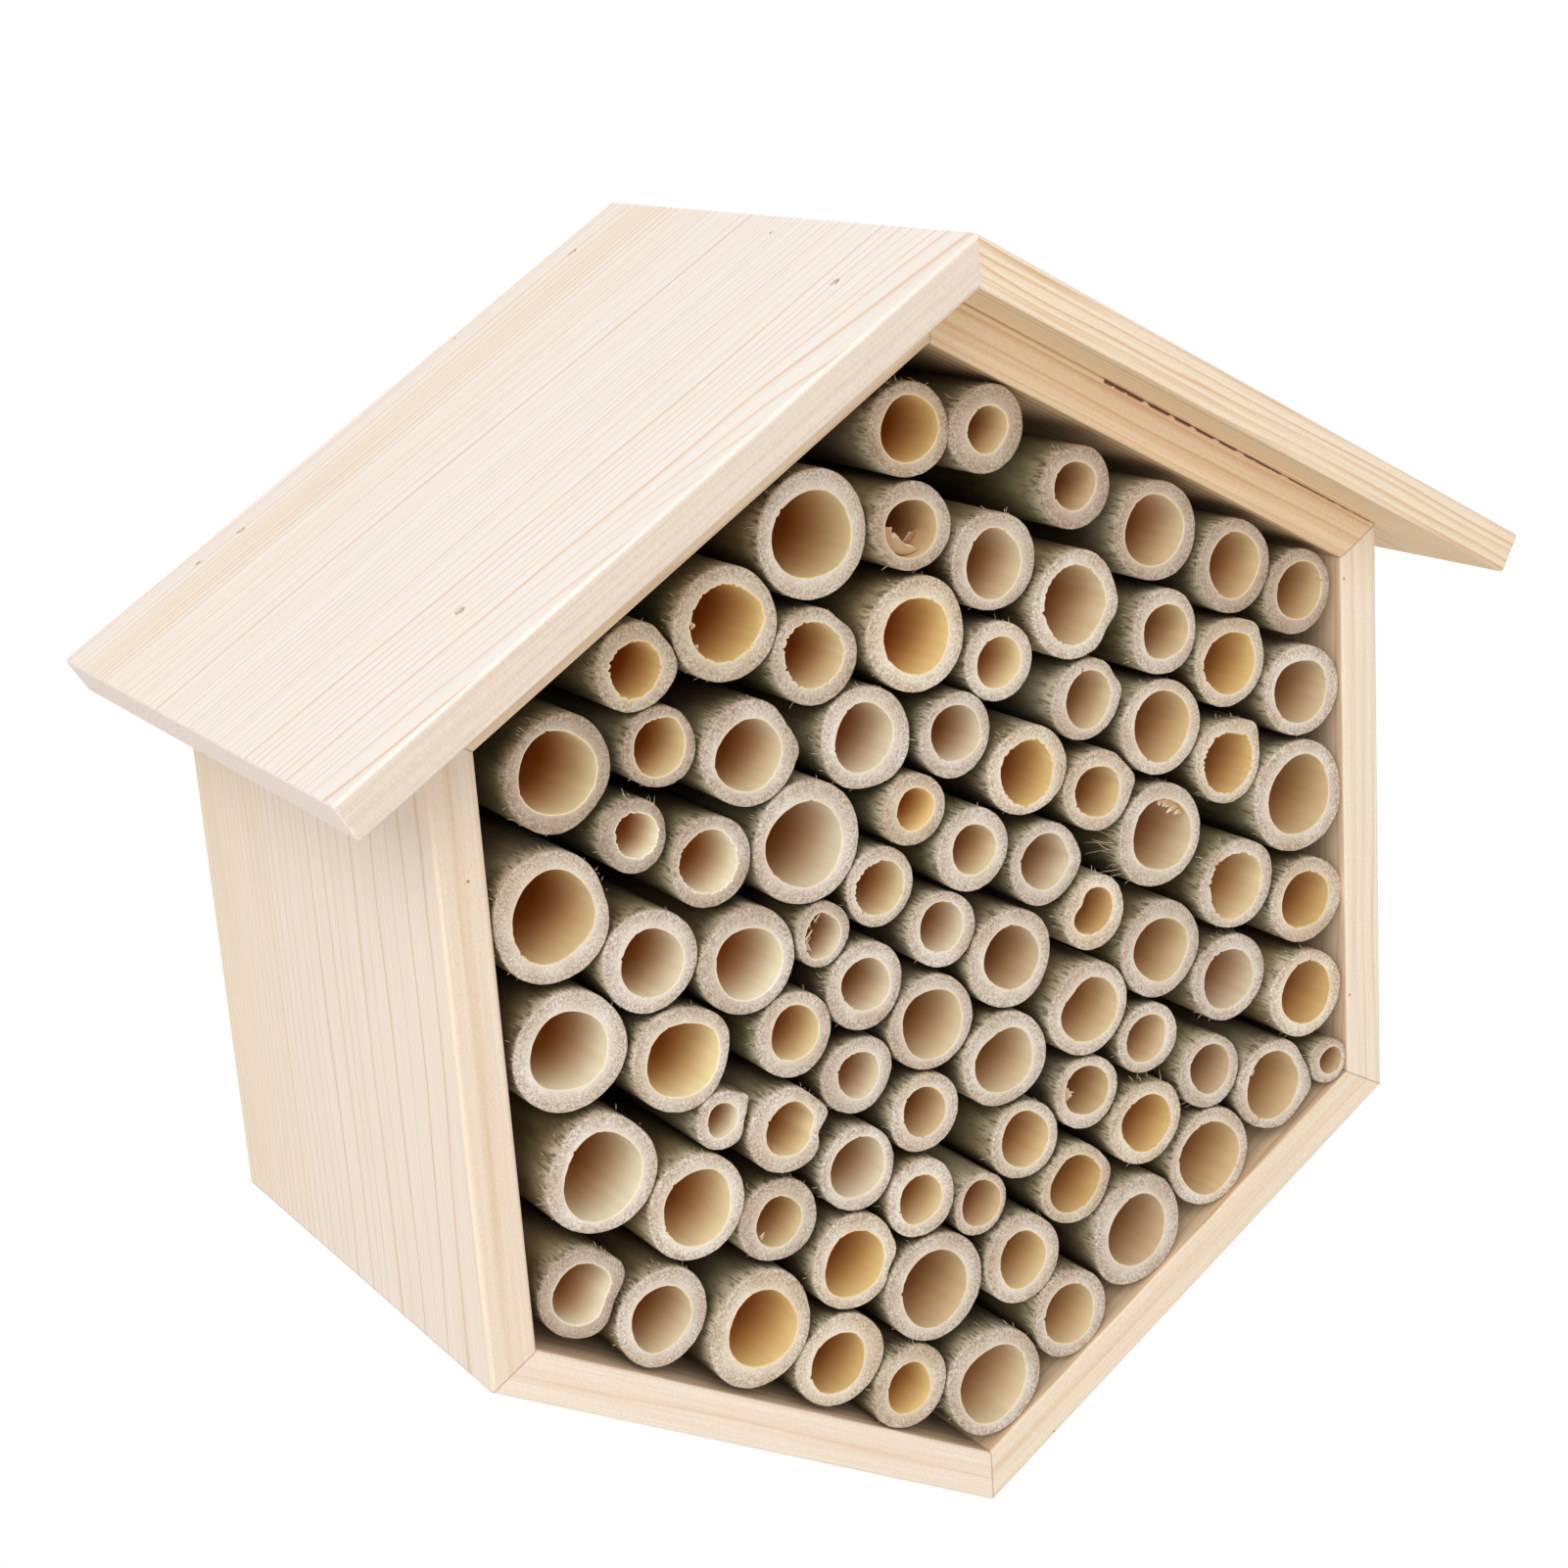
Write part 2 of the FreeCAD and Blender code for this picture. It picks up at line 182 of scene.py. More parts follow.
def makeWorld(look):
    # eye, gloss and glass see white all round, while the object is lit by less
    world = bpy.data.worlds.new("studio")
    bpy.context.scene.world = world
    world.use_nodes = True
    tree = world.node_tree
    tree.nodes.clear()
    rays = addNode(tree, "LightPath").outputs
    seen = addNode(tree, "Math MAXIMUM", i0=rays["Is Camera Ray"], i1=rays["Is Glossy Ray"])
    seen = addNode(tree, "Math MAXIMUM", i0=seen, i1=rays["Is Transmission Ray"])
    light = {"Color": linear(look["worldColour"]), "Strength": look["worldStrength"]}
    light = addNode(tree, "Background", light)
    white = addNode(tree, "Background", {"Color": linear(look["white"]), "Strength": 1.0})
    both = addNode(tree, "MixShader", Fac=seen, i1=light, i2=white)
    addNode(tree, "OutputWorld", Surface=both)


def makeFloor(look):
    # a pale floor, far below because the hotel hangs; the eye sees it as white
    low = cadBox[0].z - look["floorDrop"] * mm
    half = look["floorSize"] * mm / 2
    mesh = bpy.data.meshes.new("floor")
    corners = [(-half, -half, low), (half, -half, low), (half, half, low), (-half, half, low)]
    mesh.from_pydata(corners, [], [(0, 1, 2, 3)])
    floor = bpy.data.objects.new("floor", mesh)
    bpy.context.scene.collection.objects.link(floor)
    material, tree, shader = newMaterial("pale studio floor")
    shader.inputs["Base Color"].default_value = linear(look["floorColour"])
    shader.inputs["Roughness"].default_value = look["floorRough"]
    toEye = addNode(tree, "LightPath").outputs["Is Camera Ray"]
    glow = addNode(tree, "Emission", {"Color": linear(look["white"]), "Strength": 1.0})
    both = addNode(tree, "MixShader", Fac=toEye, i1=shader, i2=glow)
    tree.links.new(live(both), tree.nodes["Material Output"].inputs["Surface"])
    mesh.materials.append(material)


def makeLamps(look):
    # square soft lamps, all aimed at the origin
    for name, lampLook in look["lamps"].items():
        lamp = bpy.data.lights.new(name, "AREA")
        lamp.size = lampLook["size"] * mm
        lamp.energy = lampLook["power"]
        lamp.color = linear(look["lampColour"])[:3]
        holder = bpy.data.objects.new(name, lamp)
        holder.location = Vector(lampLook["place"]) * mm
        holder.rotation_euler = (-holder.location).to_track_quat("-Z", "Y").to_euler()
        bpy.context.scene.collection.objects.link(holder)


bpy.context.scene.view_settings.view_transform = "Standard"
makeCamera(cameraLook)
makeWorld(studioLook)
makeFloor(studioLook)
makeLamps(studioLook)
print("camera and studio set")


def islands(node):
    # the separate solids of a node, as corner lists in mm: its loose triangles are welded, then labels spread
    mesh = node.data
    mesh.calc_loop_triangles()
    corners = np.empty(len(mesh.vertices) * 3)
    mesh.vertices.foreach_get("co", corners)
    triangles = np.empty(len(mesh.loop_triangles) * 3, dtype=np.int64)
    mesh.loop_triangles.foreach_get("vertices", triangles)
    points, welded = np.unique(np.round(corners.reshape(-1, 3) / mm, 3), axis=0, return_inverse=True)
    triangles = welded.ravel()[triangles].reshape(-1, 3)
    label = np.arange(len(points))
    while True:
        lowest = label.copy()
        np.minimum.at(lowest, triangles.ravel(), np.repeat(label[triangles].min(axis=1), 3))
        lowest = lowest[lowest]
        if np.array_equal(lowest, label):
            break
        label = lowest
    return [points[label == value] for value in np.unique(label)]


# The hexagon's sizes, from the frame, and the roof boards' thickness
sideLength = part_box("upper_left_wall")[1].z / mm
outerHalf = sideLength * math.sqrt(3) / 2
wallThick = (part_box("left_wall")[1].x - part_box("left_wall")[0].x) / mm
roofThick = 7
roofTop = outerHalf + roofThick

# Boards. turn: about the depth axis; face: how far the outer face is from the hexagon's centre; heart: the
# tree's centre line, as its place in depth and how far below that face; lean: how that line dips along the
# board; ring: a year's growth; lateShare: late wood's share of it; crowd: extra years near the back; edgeRing
# and edgeStart: the bands along the front edge; lines and edgeLines: how strong they are; endHeart: the
# tree's centre on the sawn end; tint and late: pale and late wood; edge: tint of the front edge; inner: the
# inner face's painted shade and warm bounce light; bands: warm heartwood from back (0) to front (1); nap: how
# fine the front edge's fuzz is, along and across; pinholes: place along and in depth, and width; specks:
# place along and outwards on the front edge; resin: where along the board a streak starts and ends; brads:
# the node with its pins
boardLook = {
    "left_wall": {
        "turn": 270, "face": outerHalf, "heart": (-122, 53), "lean": 0.02, "ring": 3.7, "crowd": 40,
        "lines": 0.75, "lateShare": 0.13, "edgeRing": 4.6, "edgeStart": 0.55, "edgeLines": 0.35,
        "edge": "#F4F2EE", "tint": "#F6EBE1", "late": "#DBAC7A", "seed": 1, "specks": [(29.0, 86.0)],
        "bands": [(0.0, 0.5), (0.1, 0.45), (0.2, 0.2), (0.27, 0.4), (0.33, 0.0), (0.97, 0.0), (0.99, 0.25)],
    },
    "right_wall": {
        "turn": 90, "face": outerHalf, "heart": (-150, 50), "lean": -0.03, "ring": 1.8, "lines": 0.9,
        "edgeRing": 2.2, "edgeStart": 0.2, "edgeLines": 0.4, "edge": "#F9FAF8", "tint": "#F6EBE0",
        "late": "#D9AE80", "seed": 2, "specks": [(33.0, 83.6), (-44.0, 83.5)],
        "bands": [(0.0, 0.3), (0.5, 0.1), (1.0, 0.2)],
    },
    "upper_left_wall": {
        "turn": 330, "face": outerHalf, "heart": (20, 45), "lean": 0.05, "ring": 1.7, "lines": 0.8,
        "edgeRing": 3.0, "edgeStart": 0.4, "edgeLines": 0.5, "edge": "#FBF7F0", "tint": "#F4E6D6",
        "late": "#D9AE80", "seed": 3, "bands": [(0.0, 0.4), (1.0, 0.4)],
    },
    "upper_right_wall": {
        "turn": 30, "face": outerHalf, "heart": (-140, 40), "lean": 0.04, "ring": 1.9, "lines": 1.0,
        "edgeRing": 3.0, "edgeStart": 0.3, "edgeLines": 0.7, "edge": "#F9F4EC", "tint": "#F3E4D2",
        "late": "#D2A06A", "seed": 4, "bands": [(0.0, 0.5), (1.0, 0.55)], "resin": (-14.0, 51.0),
    },
    "lower_left_wall": {
        "turn": 210, "face": outerHalf, "heart": (-160, 70), "lean": -0.04, "ring": 1.6, "lines": 0.8,
        "edgeRing": 5.0, "edgeStart": 0.1, "edgeLines": 0.35, "edge": "#FAF9F7", "tint": "#F6EBE1",
        "late": "#D9AE80", "seed": 5, "bands": [(0.0, 0.3), (1.0, 0.15)],
    },
    "lower_right_wall": {
        "turn": 150, "face": outerHalf, "heart": (-150, 30), "lean": 0.03, "ring": 1.8, "lines": 0.8,
        "edgeRing": 4.2, "edgeStart": 0.7, "edgeLines": 0.4, "edge": "#F8F8F5", "tint": "#F5E9DB",
        "late": "#D9AE80", "seed": 6, "specks": [(36.5, 90.3)], "nap": (0.33, 1.25),
        "bands": [(0.0, 0.3), (1.0, 0.3)],
    },
    "left_roof_board": {
        "turn": -30, "face": roofTop, "heart": (-124, 40), "lean": 0.06, "ring": 1.55, "lines": 0.75,
        "edgeRing": 2.2, "edgeStart": 0.6, "edgeLines": 0.25, "edge": "#EEE9E4", "endHeart": (-70, 19),
        "tint": "#F7F1EC", "late": "#E3B48E", "seed": 7, "brads": "left_roof_brads", "thick": roofThick,
        "inner": "#FFF7E6", "nap": (0.33, 1.25),
        "pinholes": [(52.4, -61.0, 0.6), (17.0, -1.9, 0.45), (-44.6, -5.8, 0.9)],
        "bands": [(0.0, 0.1), (0.05, 0.0), (0.09, 0.3), (0.15, 0.4), (0.2, 0.05), (0.3, 0.15), (0.36, 0.0)],
    },
    "right_roof_board": {
        "turn": 30, "face": roofTop, "heart": (-60, 26), "lean": -0.05, "ring": 1.9, "lines": 0.8,
        "edgeRing": 1.6, "edgeStart": 0.1, "edgeLines": 0.85, "edge": "#FBFAF7", "endHeart": (-45, 24),
        "tint": "#F6ECE1", "late": "#D3A672", "seed": 8, "brads": "right_roof_brads", "thick": roofThick,
        "inner": "#FFF7E6", "bands": [(0.0, 0.4), (0.5, 0.2), (0.85, 0.2), (0.9, 0.45), (1.0, 0.45)],
    },
    "back_panel": {
        "turn": 90, "face": 0, "heart": (46, 18), "lean": 0.03, "ring": 2.6, "lines": 0.55,
        "edgeReach": -1.0, "edgeRing": 3.0, "edgeStart": 0.0, "edgeLines": 0.0, "edge": "#FFFFFF",
        "tint": "#EFDFC6", "late": "#D6AD7C", "seed": 9, "bands": [(0.0, 0.4), (1.0, 0.4)],
    },
}


# Pine in general. Patterns are given by their sizes along, into and across the board; a By is how far a
# pattern moves a line or how strongly it shows; a Span runs from one value to another, with how much shows
# at each
pineLook = {
    "wander": (125, 45, 45), "wanderSeed": 3.7, "ringsBy": 9.0, "years": 11.1, "yearsBy": 7.0,
    "crowdCurve": 4.0, "lateShare": 0.25, "weakYear": 0.3,
    "lateCurve": [(2, "#101010"), (1, "#808080"), (0.55, "#FFFFFF"), (0.25, "#FFFFFF")],
    "edgeReach": 0.3, "edgeUneven": (83, math.inf, 2.22), "edgeSeed": 2.3, "edgeBy": 3.0, "edgeDriftBy": 5.0,
    "edgeFade": (0.3, 0.6), "weakEdge": 0.4, "edgeArris": (0.9, 0.3),
    "edgeCurve": [(0.0, "#404040"), (0.4, "#000000"), (0.8, "#C0C0C0"), (0.9, "#FFFFFF"), (1.0, "#404040")],
    "endFacing": 0.7, "endFlat": 0.5, "endDriftBy": 6.0, "endBy": 0.25,
    "endTint": "#FCF3EE", "endLine": "#DCCBC2",
    "heartwood": "#F3E0C2", "heartwoodDriftBy": 6.0, "greyPower": 0.4545,
    # inner: painted shade and warm bounce light on inner faces
    "inner": "#F4E5D2", "innerReach": 0.05,
    "fibre": (33, 0.385, 0.385), "fibreShade": [(0.3, "#E9DBCB"), (0.65, "#FFFFFF")], "fibreBy": 0.35,
    "nap": (0.62, 0.28), "napDeep": 1.0, "napShade": [(0.35, "#E6DACD"), (0.62, "#FFFFFF")], "napBy": 0.3,
    "joint": "#8A6846", "jointSpan": (0.05, 0.22, 0.55, 0.0),
    "holeScale": (1.05, 2.0), "bradScale": (0.95, 1.6, 0), "speckScale": (3.2, 3.2, 3.2),
    "torn": 0.45, "tornBy": 1.4,
    "tornStains": [("#D09C5C", (1.3, 1.75, 0.9, 0.0)), ("#5C3D22", (0.95, 1.2, 0.9, 0.0))],
    "dashes": 2.78, "dashSpan": (0.34, 0.46), "resinThick": (0.75, 0.16),
    "resinStains": [("#E2B698", (-0.1, 1.4, 0.5, 0.0)), ("#66291A", (-0.1, 0.12, 0.92, 0.0))],
    "rough": 0.62, "ior": 1.45, "relief": 0.12, "reliefBy": 0.25, "ringRelief": 0.35,
}


def stretchedNoise(tree, place, sizes, detail, unit=mm, start=0.0):
    # a cloudy pattern with its own real size along each axis
    stretch = {"Scale": perSize(*sizes, unit=unit), "Location": (start, 0, 0)}
    stretched = addNode(tree, "Mapping", stretch, Vector=place)
    return addNode(tree, "TexNoise", {"Scale": 1.0, "Detail": detail}, Vector=stretched)


def ringLines(tree, axes, drift, look, frontToBack):
    # years = (distance from the tree's centre line, moved by its wander and by good and poor years) / ring
    # width, with more of them towards the back; late wood ends each year, more strongly in some years
    along, depth, outward = axes
    heartDepth, heartDrop = look["heart"]
    leaning = addNode(tree, "Math MULTIPLY_ADD", {1: look["lean"], 2: heartDrop}, i0=along)
    toSide = addNode(tree, "Math SUBTRACT", {1: heartDepth}, i0=depth)
    toHeart = addNode(tree, "Math ADD", {1: -look["face"]}, i0=outward)
    toHeart = addNode(tree, "Math ADD", i0=toHeart, i1=leaning)
    spoke = addNode(tree, "CombineXYZ", X=toSide, Y=toHeart)
    radius = addNode(tree, "VectorMath LENGTH", i0=spoke)
    radius = addNode(tree, "Math MULTIPLY_ADD", {1: pineLook["ringsBy"]}, i0=drift, i2=radius)
    luck = {"noise_dimensions": "1D", "Scale": 1 / pineLook["years"], "Detail": 2.0}
    luck = addNode(tree, "TexNoise", luck, W=radius)
    grown = addNode(tree, "Math MULTIPLY_ADD", {1: pineLook["yearsBy"]}, i0=luck, i2=radius)
    toBack = addNode(tree, "MapRange", {"span": frontToBack}, Value=depth)
    toBack = addNode(tree, "Math POWER", {1: pineLook["crowdCurve"]}, i0=toBack)
    crowd = look.get("crowd", 0.0)
    grown = addNode(tree, "Math MULTIPLY_ADD", {1: crowd}, i0=toBack, i2=grown)
    years = addNode(tree, "Math DIVIDE", {1: look["ring"]}, i0=grown)
    season = addNode(tree, "Math FRACT", i0=years)
    lateShare = look.get("lateShare", pineLook["lateShare"])
    stops = [(1 - part * lateShare, grey) for part, grey in pineLook["lateCurve"]]
    late = addNode(tree, "ValToRGB", {"stops": [(0.0, "#000000"), *stops, (1.0, "#000000")]}, Fac=season)
    year = addNode(tree, "Math FLOOR", i0=years)
    year = addNode(tree, "TexWhiteNoise", {"noise_dimensions": "1D"}, W=year)
    strength = (0.0, 1.0, pineLook["weakYear"] * look["lines"], look["lines"])
    strength = addNode(tree, "MapRange", {"span": strength}, Value=year)
    return season, addNode(tree, "Math MULTIPLY", i0=late, i1=strength)


def edgeBands(tree, board, outward, drift, look):
    # the front edge shows its own few long soft bands, fading in and out
    start = look["seed"] * pineLook["edgeSeed"]
    uneven = stretchedNoise(tree, board, pineLook["edgeUneven"], detail=2.0, unit=1, start=start)
    band = addNode(tree, "Math MULTIPLY_ADD", {1: pineLook["edgeBy"]}, i0=uneven, i2=outward)
    band = addNode(tree, "Math MULTIPLY_ADD", {1: pineLook["edgeDriftBy"]}, i0=drift, i2=band)
    repeat = {1: 1 / look["edgeRing"], 2: look["edgeStart"]}
    band = addNode(tree, "Math MULTIPLY_ADD", repeat, i0=band)
    band = addNode(tree, "Math FRACT", i0=band)
    band = addNode(tree, "ValToRGB", {"stops": pineLook["edgeCurve"]}, Fac=band)
    fade = (*pineLook["edgeFade"], pineLook["weakEdge"] * look["edgeLines"], look["edgeLines"])
    fade = addNode(tree, "MapRange", {"span": fade}, Value=uneven)
    return addNode(tree, "Math MULTIPLY", i0=band, i1=fade)


def endArcs(tree, board, normal, drift, look):
    # a sawn end shows faint flat arcs about the tree's centre; it is where a face looks along the grain
    turn = -math.radians(look["turn"])
    endDepth, endDrop = look["endHeart"]
    grain = (math.cos(turn), 0, math.sin(turn))
    onEnd = addNode(tree, "VectorMath DOT_PRODUCT", {1: grain}, i0=normal)
    onEnd = addNode(tree, "Math ABSOLUTE", i0=onEnd)
    onEnd = addNode(tree, "Math GREATER_THAN", {1: pineLook["endFacing"]}, i0=onEnd)
    centre = (0, endDepth, look["face"] - endDrop)
    arc = addNode(tree, "VectorMath SUBTRACT", {1: centre}, i0=board)
    arc = addNode(tree, "VectorMath MULTIPLY", {1: (0, pineLook["endFlat"], 1)}, i0=arc)
    arc = addNode(tree, "VectorMath LENGTH", i0=arc)
    arc = addNode(tree, "Math MULTIPLY_ADD", {1: pineLook["endDriftBy"]}, i0=drift, i2=arc)
    arc = addNode(tree, "Math FRACT", i0=arc)
    return onEnd, addNode(tree, "Math MULTIPLY", {1: pineLook["endBy"]}, i0=arc)


def tornMarks(tree, wood, board, look, front):
    # golden torn wood with a dark heart at pins and pinholes, long with the grain; specks are small dark pits
    along, across = pineLook["holeScale"]
    marks = [((x, y, 0), (along / wide, across / wide, 0)) for x, y, wide in look.get("pinholes", [])]
    if "brads" in look:
        lay = Matrix.Rotation(-math.radians(look["turn"]), 3, "Y")
        pins = [lay @ Vector(pin.mean(axis=0)) for pin in islands(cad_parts[look["brads"]])]
        marks += [((pin.x, pin.y, 0), pineLook["bradScale"]) for pin in pins]
    marks += [((x, front, z), pineLook["speckScale"]) for x, z in look.get("specks", [])]
    near = None
    for spot, scale in marks:
        mark = addNode(tree, "VectorMath SUBTRACT", {1: spot}, i0=board)
        mark = addNode(tree, "VectorMath MULTIPLY", {1: scale}, i0=mark)
        mark = addNode(tree, "VectorMath LENGTH", i0=mark)
        near = mark if near is None else addNode(tree, "Math MINIMUM", i0=near, i1=mark)
    if near is None:
        return wood
    torn = addNode(tree, "TexNoise", {"Scale": 1 / pineLook["torn"], "Detail": 3.0}, Vector=board)
    near = addNode(tree, "Math MULTIPLY_ADD", {1: pineLook["tornBy"]}, i0=torn, i2=near)
    for colour, span in pineLook["tornStains"]:
        wood = overlay(tree, wood, colour, near, span)
    return wood


def resinLine(tree, wood, board, axes, onEdge, look):
    # a broken red-brown line just under the outer face, thick at its upper end, with a pink stain below
    along, _, outward = axes
    start, end = look["resin"]
    broken = stretchedNoise(tree, board, (pineLook["dashes"], math.inf, math.inf), detail=0.0, unit=1)
    broken = addNode(tree, "MapRange", {"span": pineLook["dashSpan"]}, Value=broken)
    thick = addNode(tree, "MapRange", {"span": (start, end, *pineLook["resinThick"])}, Value=along)
    thick = addNode(tree, "Math MULTIPLY", i0=thick, i1=broken)
    below = addNode(tree, "Math SUBTRACT", {0: look["face"]}, i1=outward)
    below = addNode(tree, "Math SUBTRACT", i0=below, i1=thick)
    after = addNode(tree, "Math GREATER_THAN", {1: start}, i0=along)
    before = addNode(tree, "Math LESS_THAN", {1: end}, i0=along)
    within = addNode(tree, "Math MULTIPLY", i0=after, i1=before)
    within = addNode(tree, "Math MULTIPLY", i0=within, i1=onEdge)
    for colour, span in pineLook["resinStains"]:
        stain = addNode(tree, "MapRange", {"span": span}, Value=below)
        stain = addNode(tree, "Math MULTIPLY", i0=stain, i1=within)
        wood = addNode(tree, "Mix", {**mixed, 7: linear(colour)}, i0=stain, i6=wood)
    return wood


def boardMaterial(name, look):
    # planed pine: pale matt early wood and thin amber late wood, warm in bands, fuzzy where it was only sawn
    material, tree, shader = newMaterial("planed pine " + name)
    coordinates = addNode(tree, "TexCoord").outputs
    turned = {"Rotation": (0, -math.radians(look["turn"]), 0), "Scale": perSize(1, 1, 1)}
    board = addNode(tree, "Mapping", turned, Vector=coordinates["Object"])
    axes = addNode(tree, "SeparateXYZ", Vector=board).outputs
    along, depth, outward = axes
    back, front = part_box(name)[1].y / mm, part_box(name)[0].y / mm
    start = look["seed"] * pineLook["wanderSeed"]
    wander = stretchedNoise(tree, board, pineLook["wander"], detail=2.5, unit=1, start=start)
    drift = addNode(tree, "Math SUBTRACT", {1: 0.5}, i0=wander)       # to both sides of the noise's middle

    # lines: rings on the faces, bands on the front edge, arcs on the ends
    season, late = ringLines(tree, axes, drift, look, (front, back))
    edge = front + look.get("edgeReach", pineLook["edgeReach"])
    onEdge = addNode(tree, "Math LESS_THAN", {1: edge}, i0=depth)
    band = edgeBands(tree, board, outward, drift, look)
    late = addNode(tree, "Mix", {"data_type": "FLOAT"}, i0=onEdge, i2=late, i3=band)
    if "endHeart" in look:
        onEnd, arc = endArcs(tree, board, coordinates["Normal"], drift, look)
        late = addNode(tree, "Mix", {"data_type": "FLOAT"}, i0=onEnd, i2=late, i3=arc)

    # warm bands of heartwood across the depth, then the lines, then the sawn edge's own tint
    reach = addNode(tree, "Math MULTIPLY_ADD", {1: pineLook["heartwoodDriftBy"]}, i0=drift, i2=depth)
    reach = addNode(tree, "MapRange", {"span": (back, front)}, Value=reach)
    power = pineLook["greyPower"]
    stops = [(at, "#" + 3 * format(round(255 * much ** power), "02X")) for at, much in look["bands"]]
    warm = addNode(tree, "ValToRGB", {"stops": stops}, Fac=reach)
    wood = addNode(tree, "Mix", {**mixed, 6: linear(look["tint"]), 7: linear(pineLook["heartwood"])}, i0=warm)
    wood = addNode(tree, "Mix", {**mixed, 7: linear(look["late"])}, i0=late, i6=wood)
    low, high = (look["face"] - inset for inset in pineLook["edgeArris"])
    arris = addNode(tree, "MapRange", {"span": (low, high, 1.0, 0.0)}, Value=outward)
    sawn = addNode(tree, "Math MULTIPLY", i0=onEdge, i1=arris)
    wood = addNode(tree, "Mix", {**darkened, 7: linear(look["edge"])}, i0=sawn, i6=wood)

    # inner faces get painted shade and warm bounce light, darker and warmer than the planed outside, and
    # sawn ends are greyer
    if look["face"] > 0:
        inside = look["face"] - look.get("thick", wallThick) + pineLook["innerReach"]
        # painted shade and bounce light on the inner faces
        inside = addNode(tree, "Math LESS_THAN", {1: inside}, i0=outward)
        inner = linear(look.get("inner", pineLook["inner"]))
        wood = addNode(tree, "Mix", {**darkened, 7: inner}, i0=inside, i6=wood)
    if "endHeart" in look:
        wood = addNode(tree, "Mix", {**mixed, 7: linear(pineLook["endTint"])}, i0=onEnd, i6=wood)
        arc = addNode(tree, "Math MULTIPLY", i0=onEnd, i1=arc)
        wood = addNode(tree, "Mix", {**darkened, 7: linear(pineLook["endLine"])}, i0=arc, i6=wood)

    # fibres: single ones are too fine to show, so they are drawn as streaks some 0.4 mm wide along the grain;
    # the front edge has a fuzzy sawn nap
    fibre = stretchedNoise(tree, board, pineLook["fibre"], detail=3.0, unit=1)
    wood = shaded(tree, wood, fibre, pineLook["fibreShade"], pineLook["fibreBy"])
    napAlong, napAcross = look.get("nap", pineLook["nap"])
    nap = stretchedNoise(tree, board, (napAlong, pineLook["napDeep"], napAcross), detail=3.0, unit=1)
    napOn = addNode(tree, "Math MULTIPLY", {1: pineLook["napBy"]}, i0=onEdge)
    wood = shaded(tree, wood, nap, pineLook["napShade"], napOn)

    # fine dark line where mitred walls meet: the mitre runs through the hexagon's axis
    if look["face"] == outerHalf:
        side = addNode(tree, "Math ABSOLUTE", i0=along)
        gap = addNode(tree, "Math MULTIPLY", {1: math.tan(math.pi / 6)}, i0=outward)
        gap = addNode(tree, "Math SUBTRACT", i0=gap, i1=side)
        wood = overlay(tree, wood, pineLook["joint"], gap, pineLook["jointSpan"])

    wood = tornMarks(tree, wood, board, look, front)
    if "resin" in look:
        wood = resinLine(tree, wood, board, axes, onEdge, look)
    height = addNode(tree, "Math MULTIPLY_ADD", {1: pineLook["ringRelief"]}, i0=season, i2=fibre)
    finishMaterial(tree, shader, wood, pineLook["rough"], height, pineLook["relief"], pineLook["reliefBy"])
    shader.inputs["IOR"].default_value = pineLook["ior"]
    return material


bradLook = {"wear": 0.4, "shades": [(0.35, "#6E4E2C"), (0.65, "#B58A52")], "metal": 0.6, "rough": 0.5}


def bradMaterial(look):
    # lacquered steel brads, punched in: dull brown gold at the bottom of their holes
    material, tree, shader = newMaterial("lacquered steel brad")
    place = addNode(tree, "TexCoord").outputs["Object"]
    worn = addNode(tree, "TexNoise", {"Scale": 1 / (look["wear"] * mm), "Detail": 2.0}, Vector=place)
    colour = addNode(tree, "ValToRGB", {"stops": look["shades"]}, Fac=worn)
    finishMaterial(tree, shader, colour, look["rough"])
    shader.inputs["Metallic"].default_value = look["metal"]
    return material


finishOf = {name: boardMaterial(name, look) for name, look in boardLook.items()}
finishOf.update(dict.fromkeys(("left_roof_brads", "right_roof_brads"), bradMaterial(bradLook)))
for name, finish in finishOf.items():
    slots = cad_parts[name].data.materials
    slots.clear()
    slots.append(finish)
print("boards and brads finished:", len(finishOf))

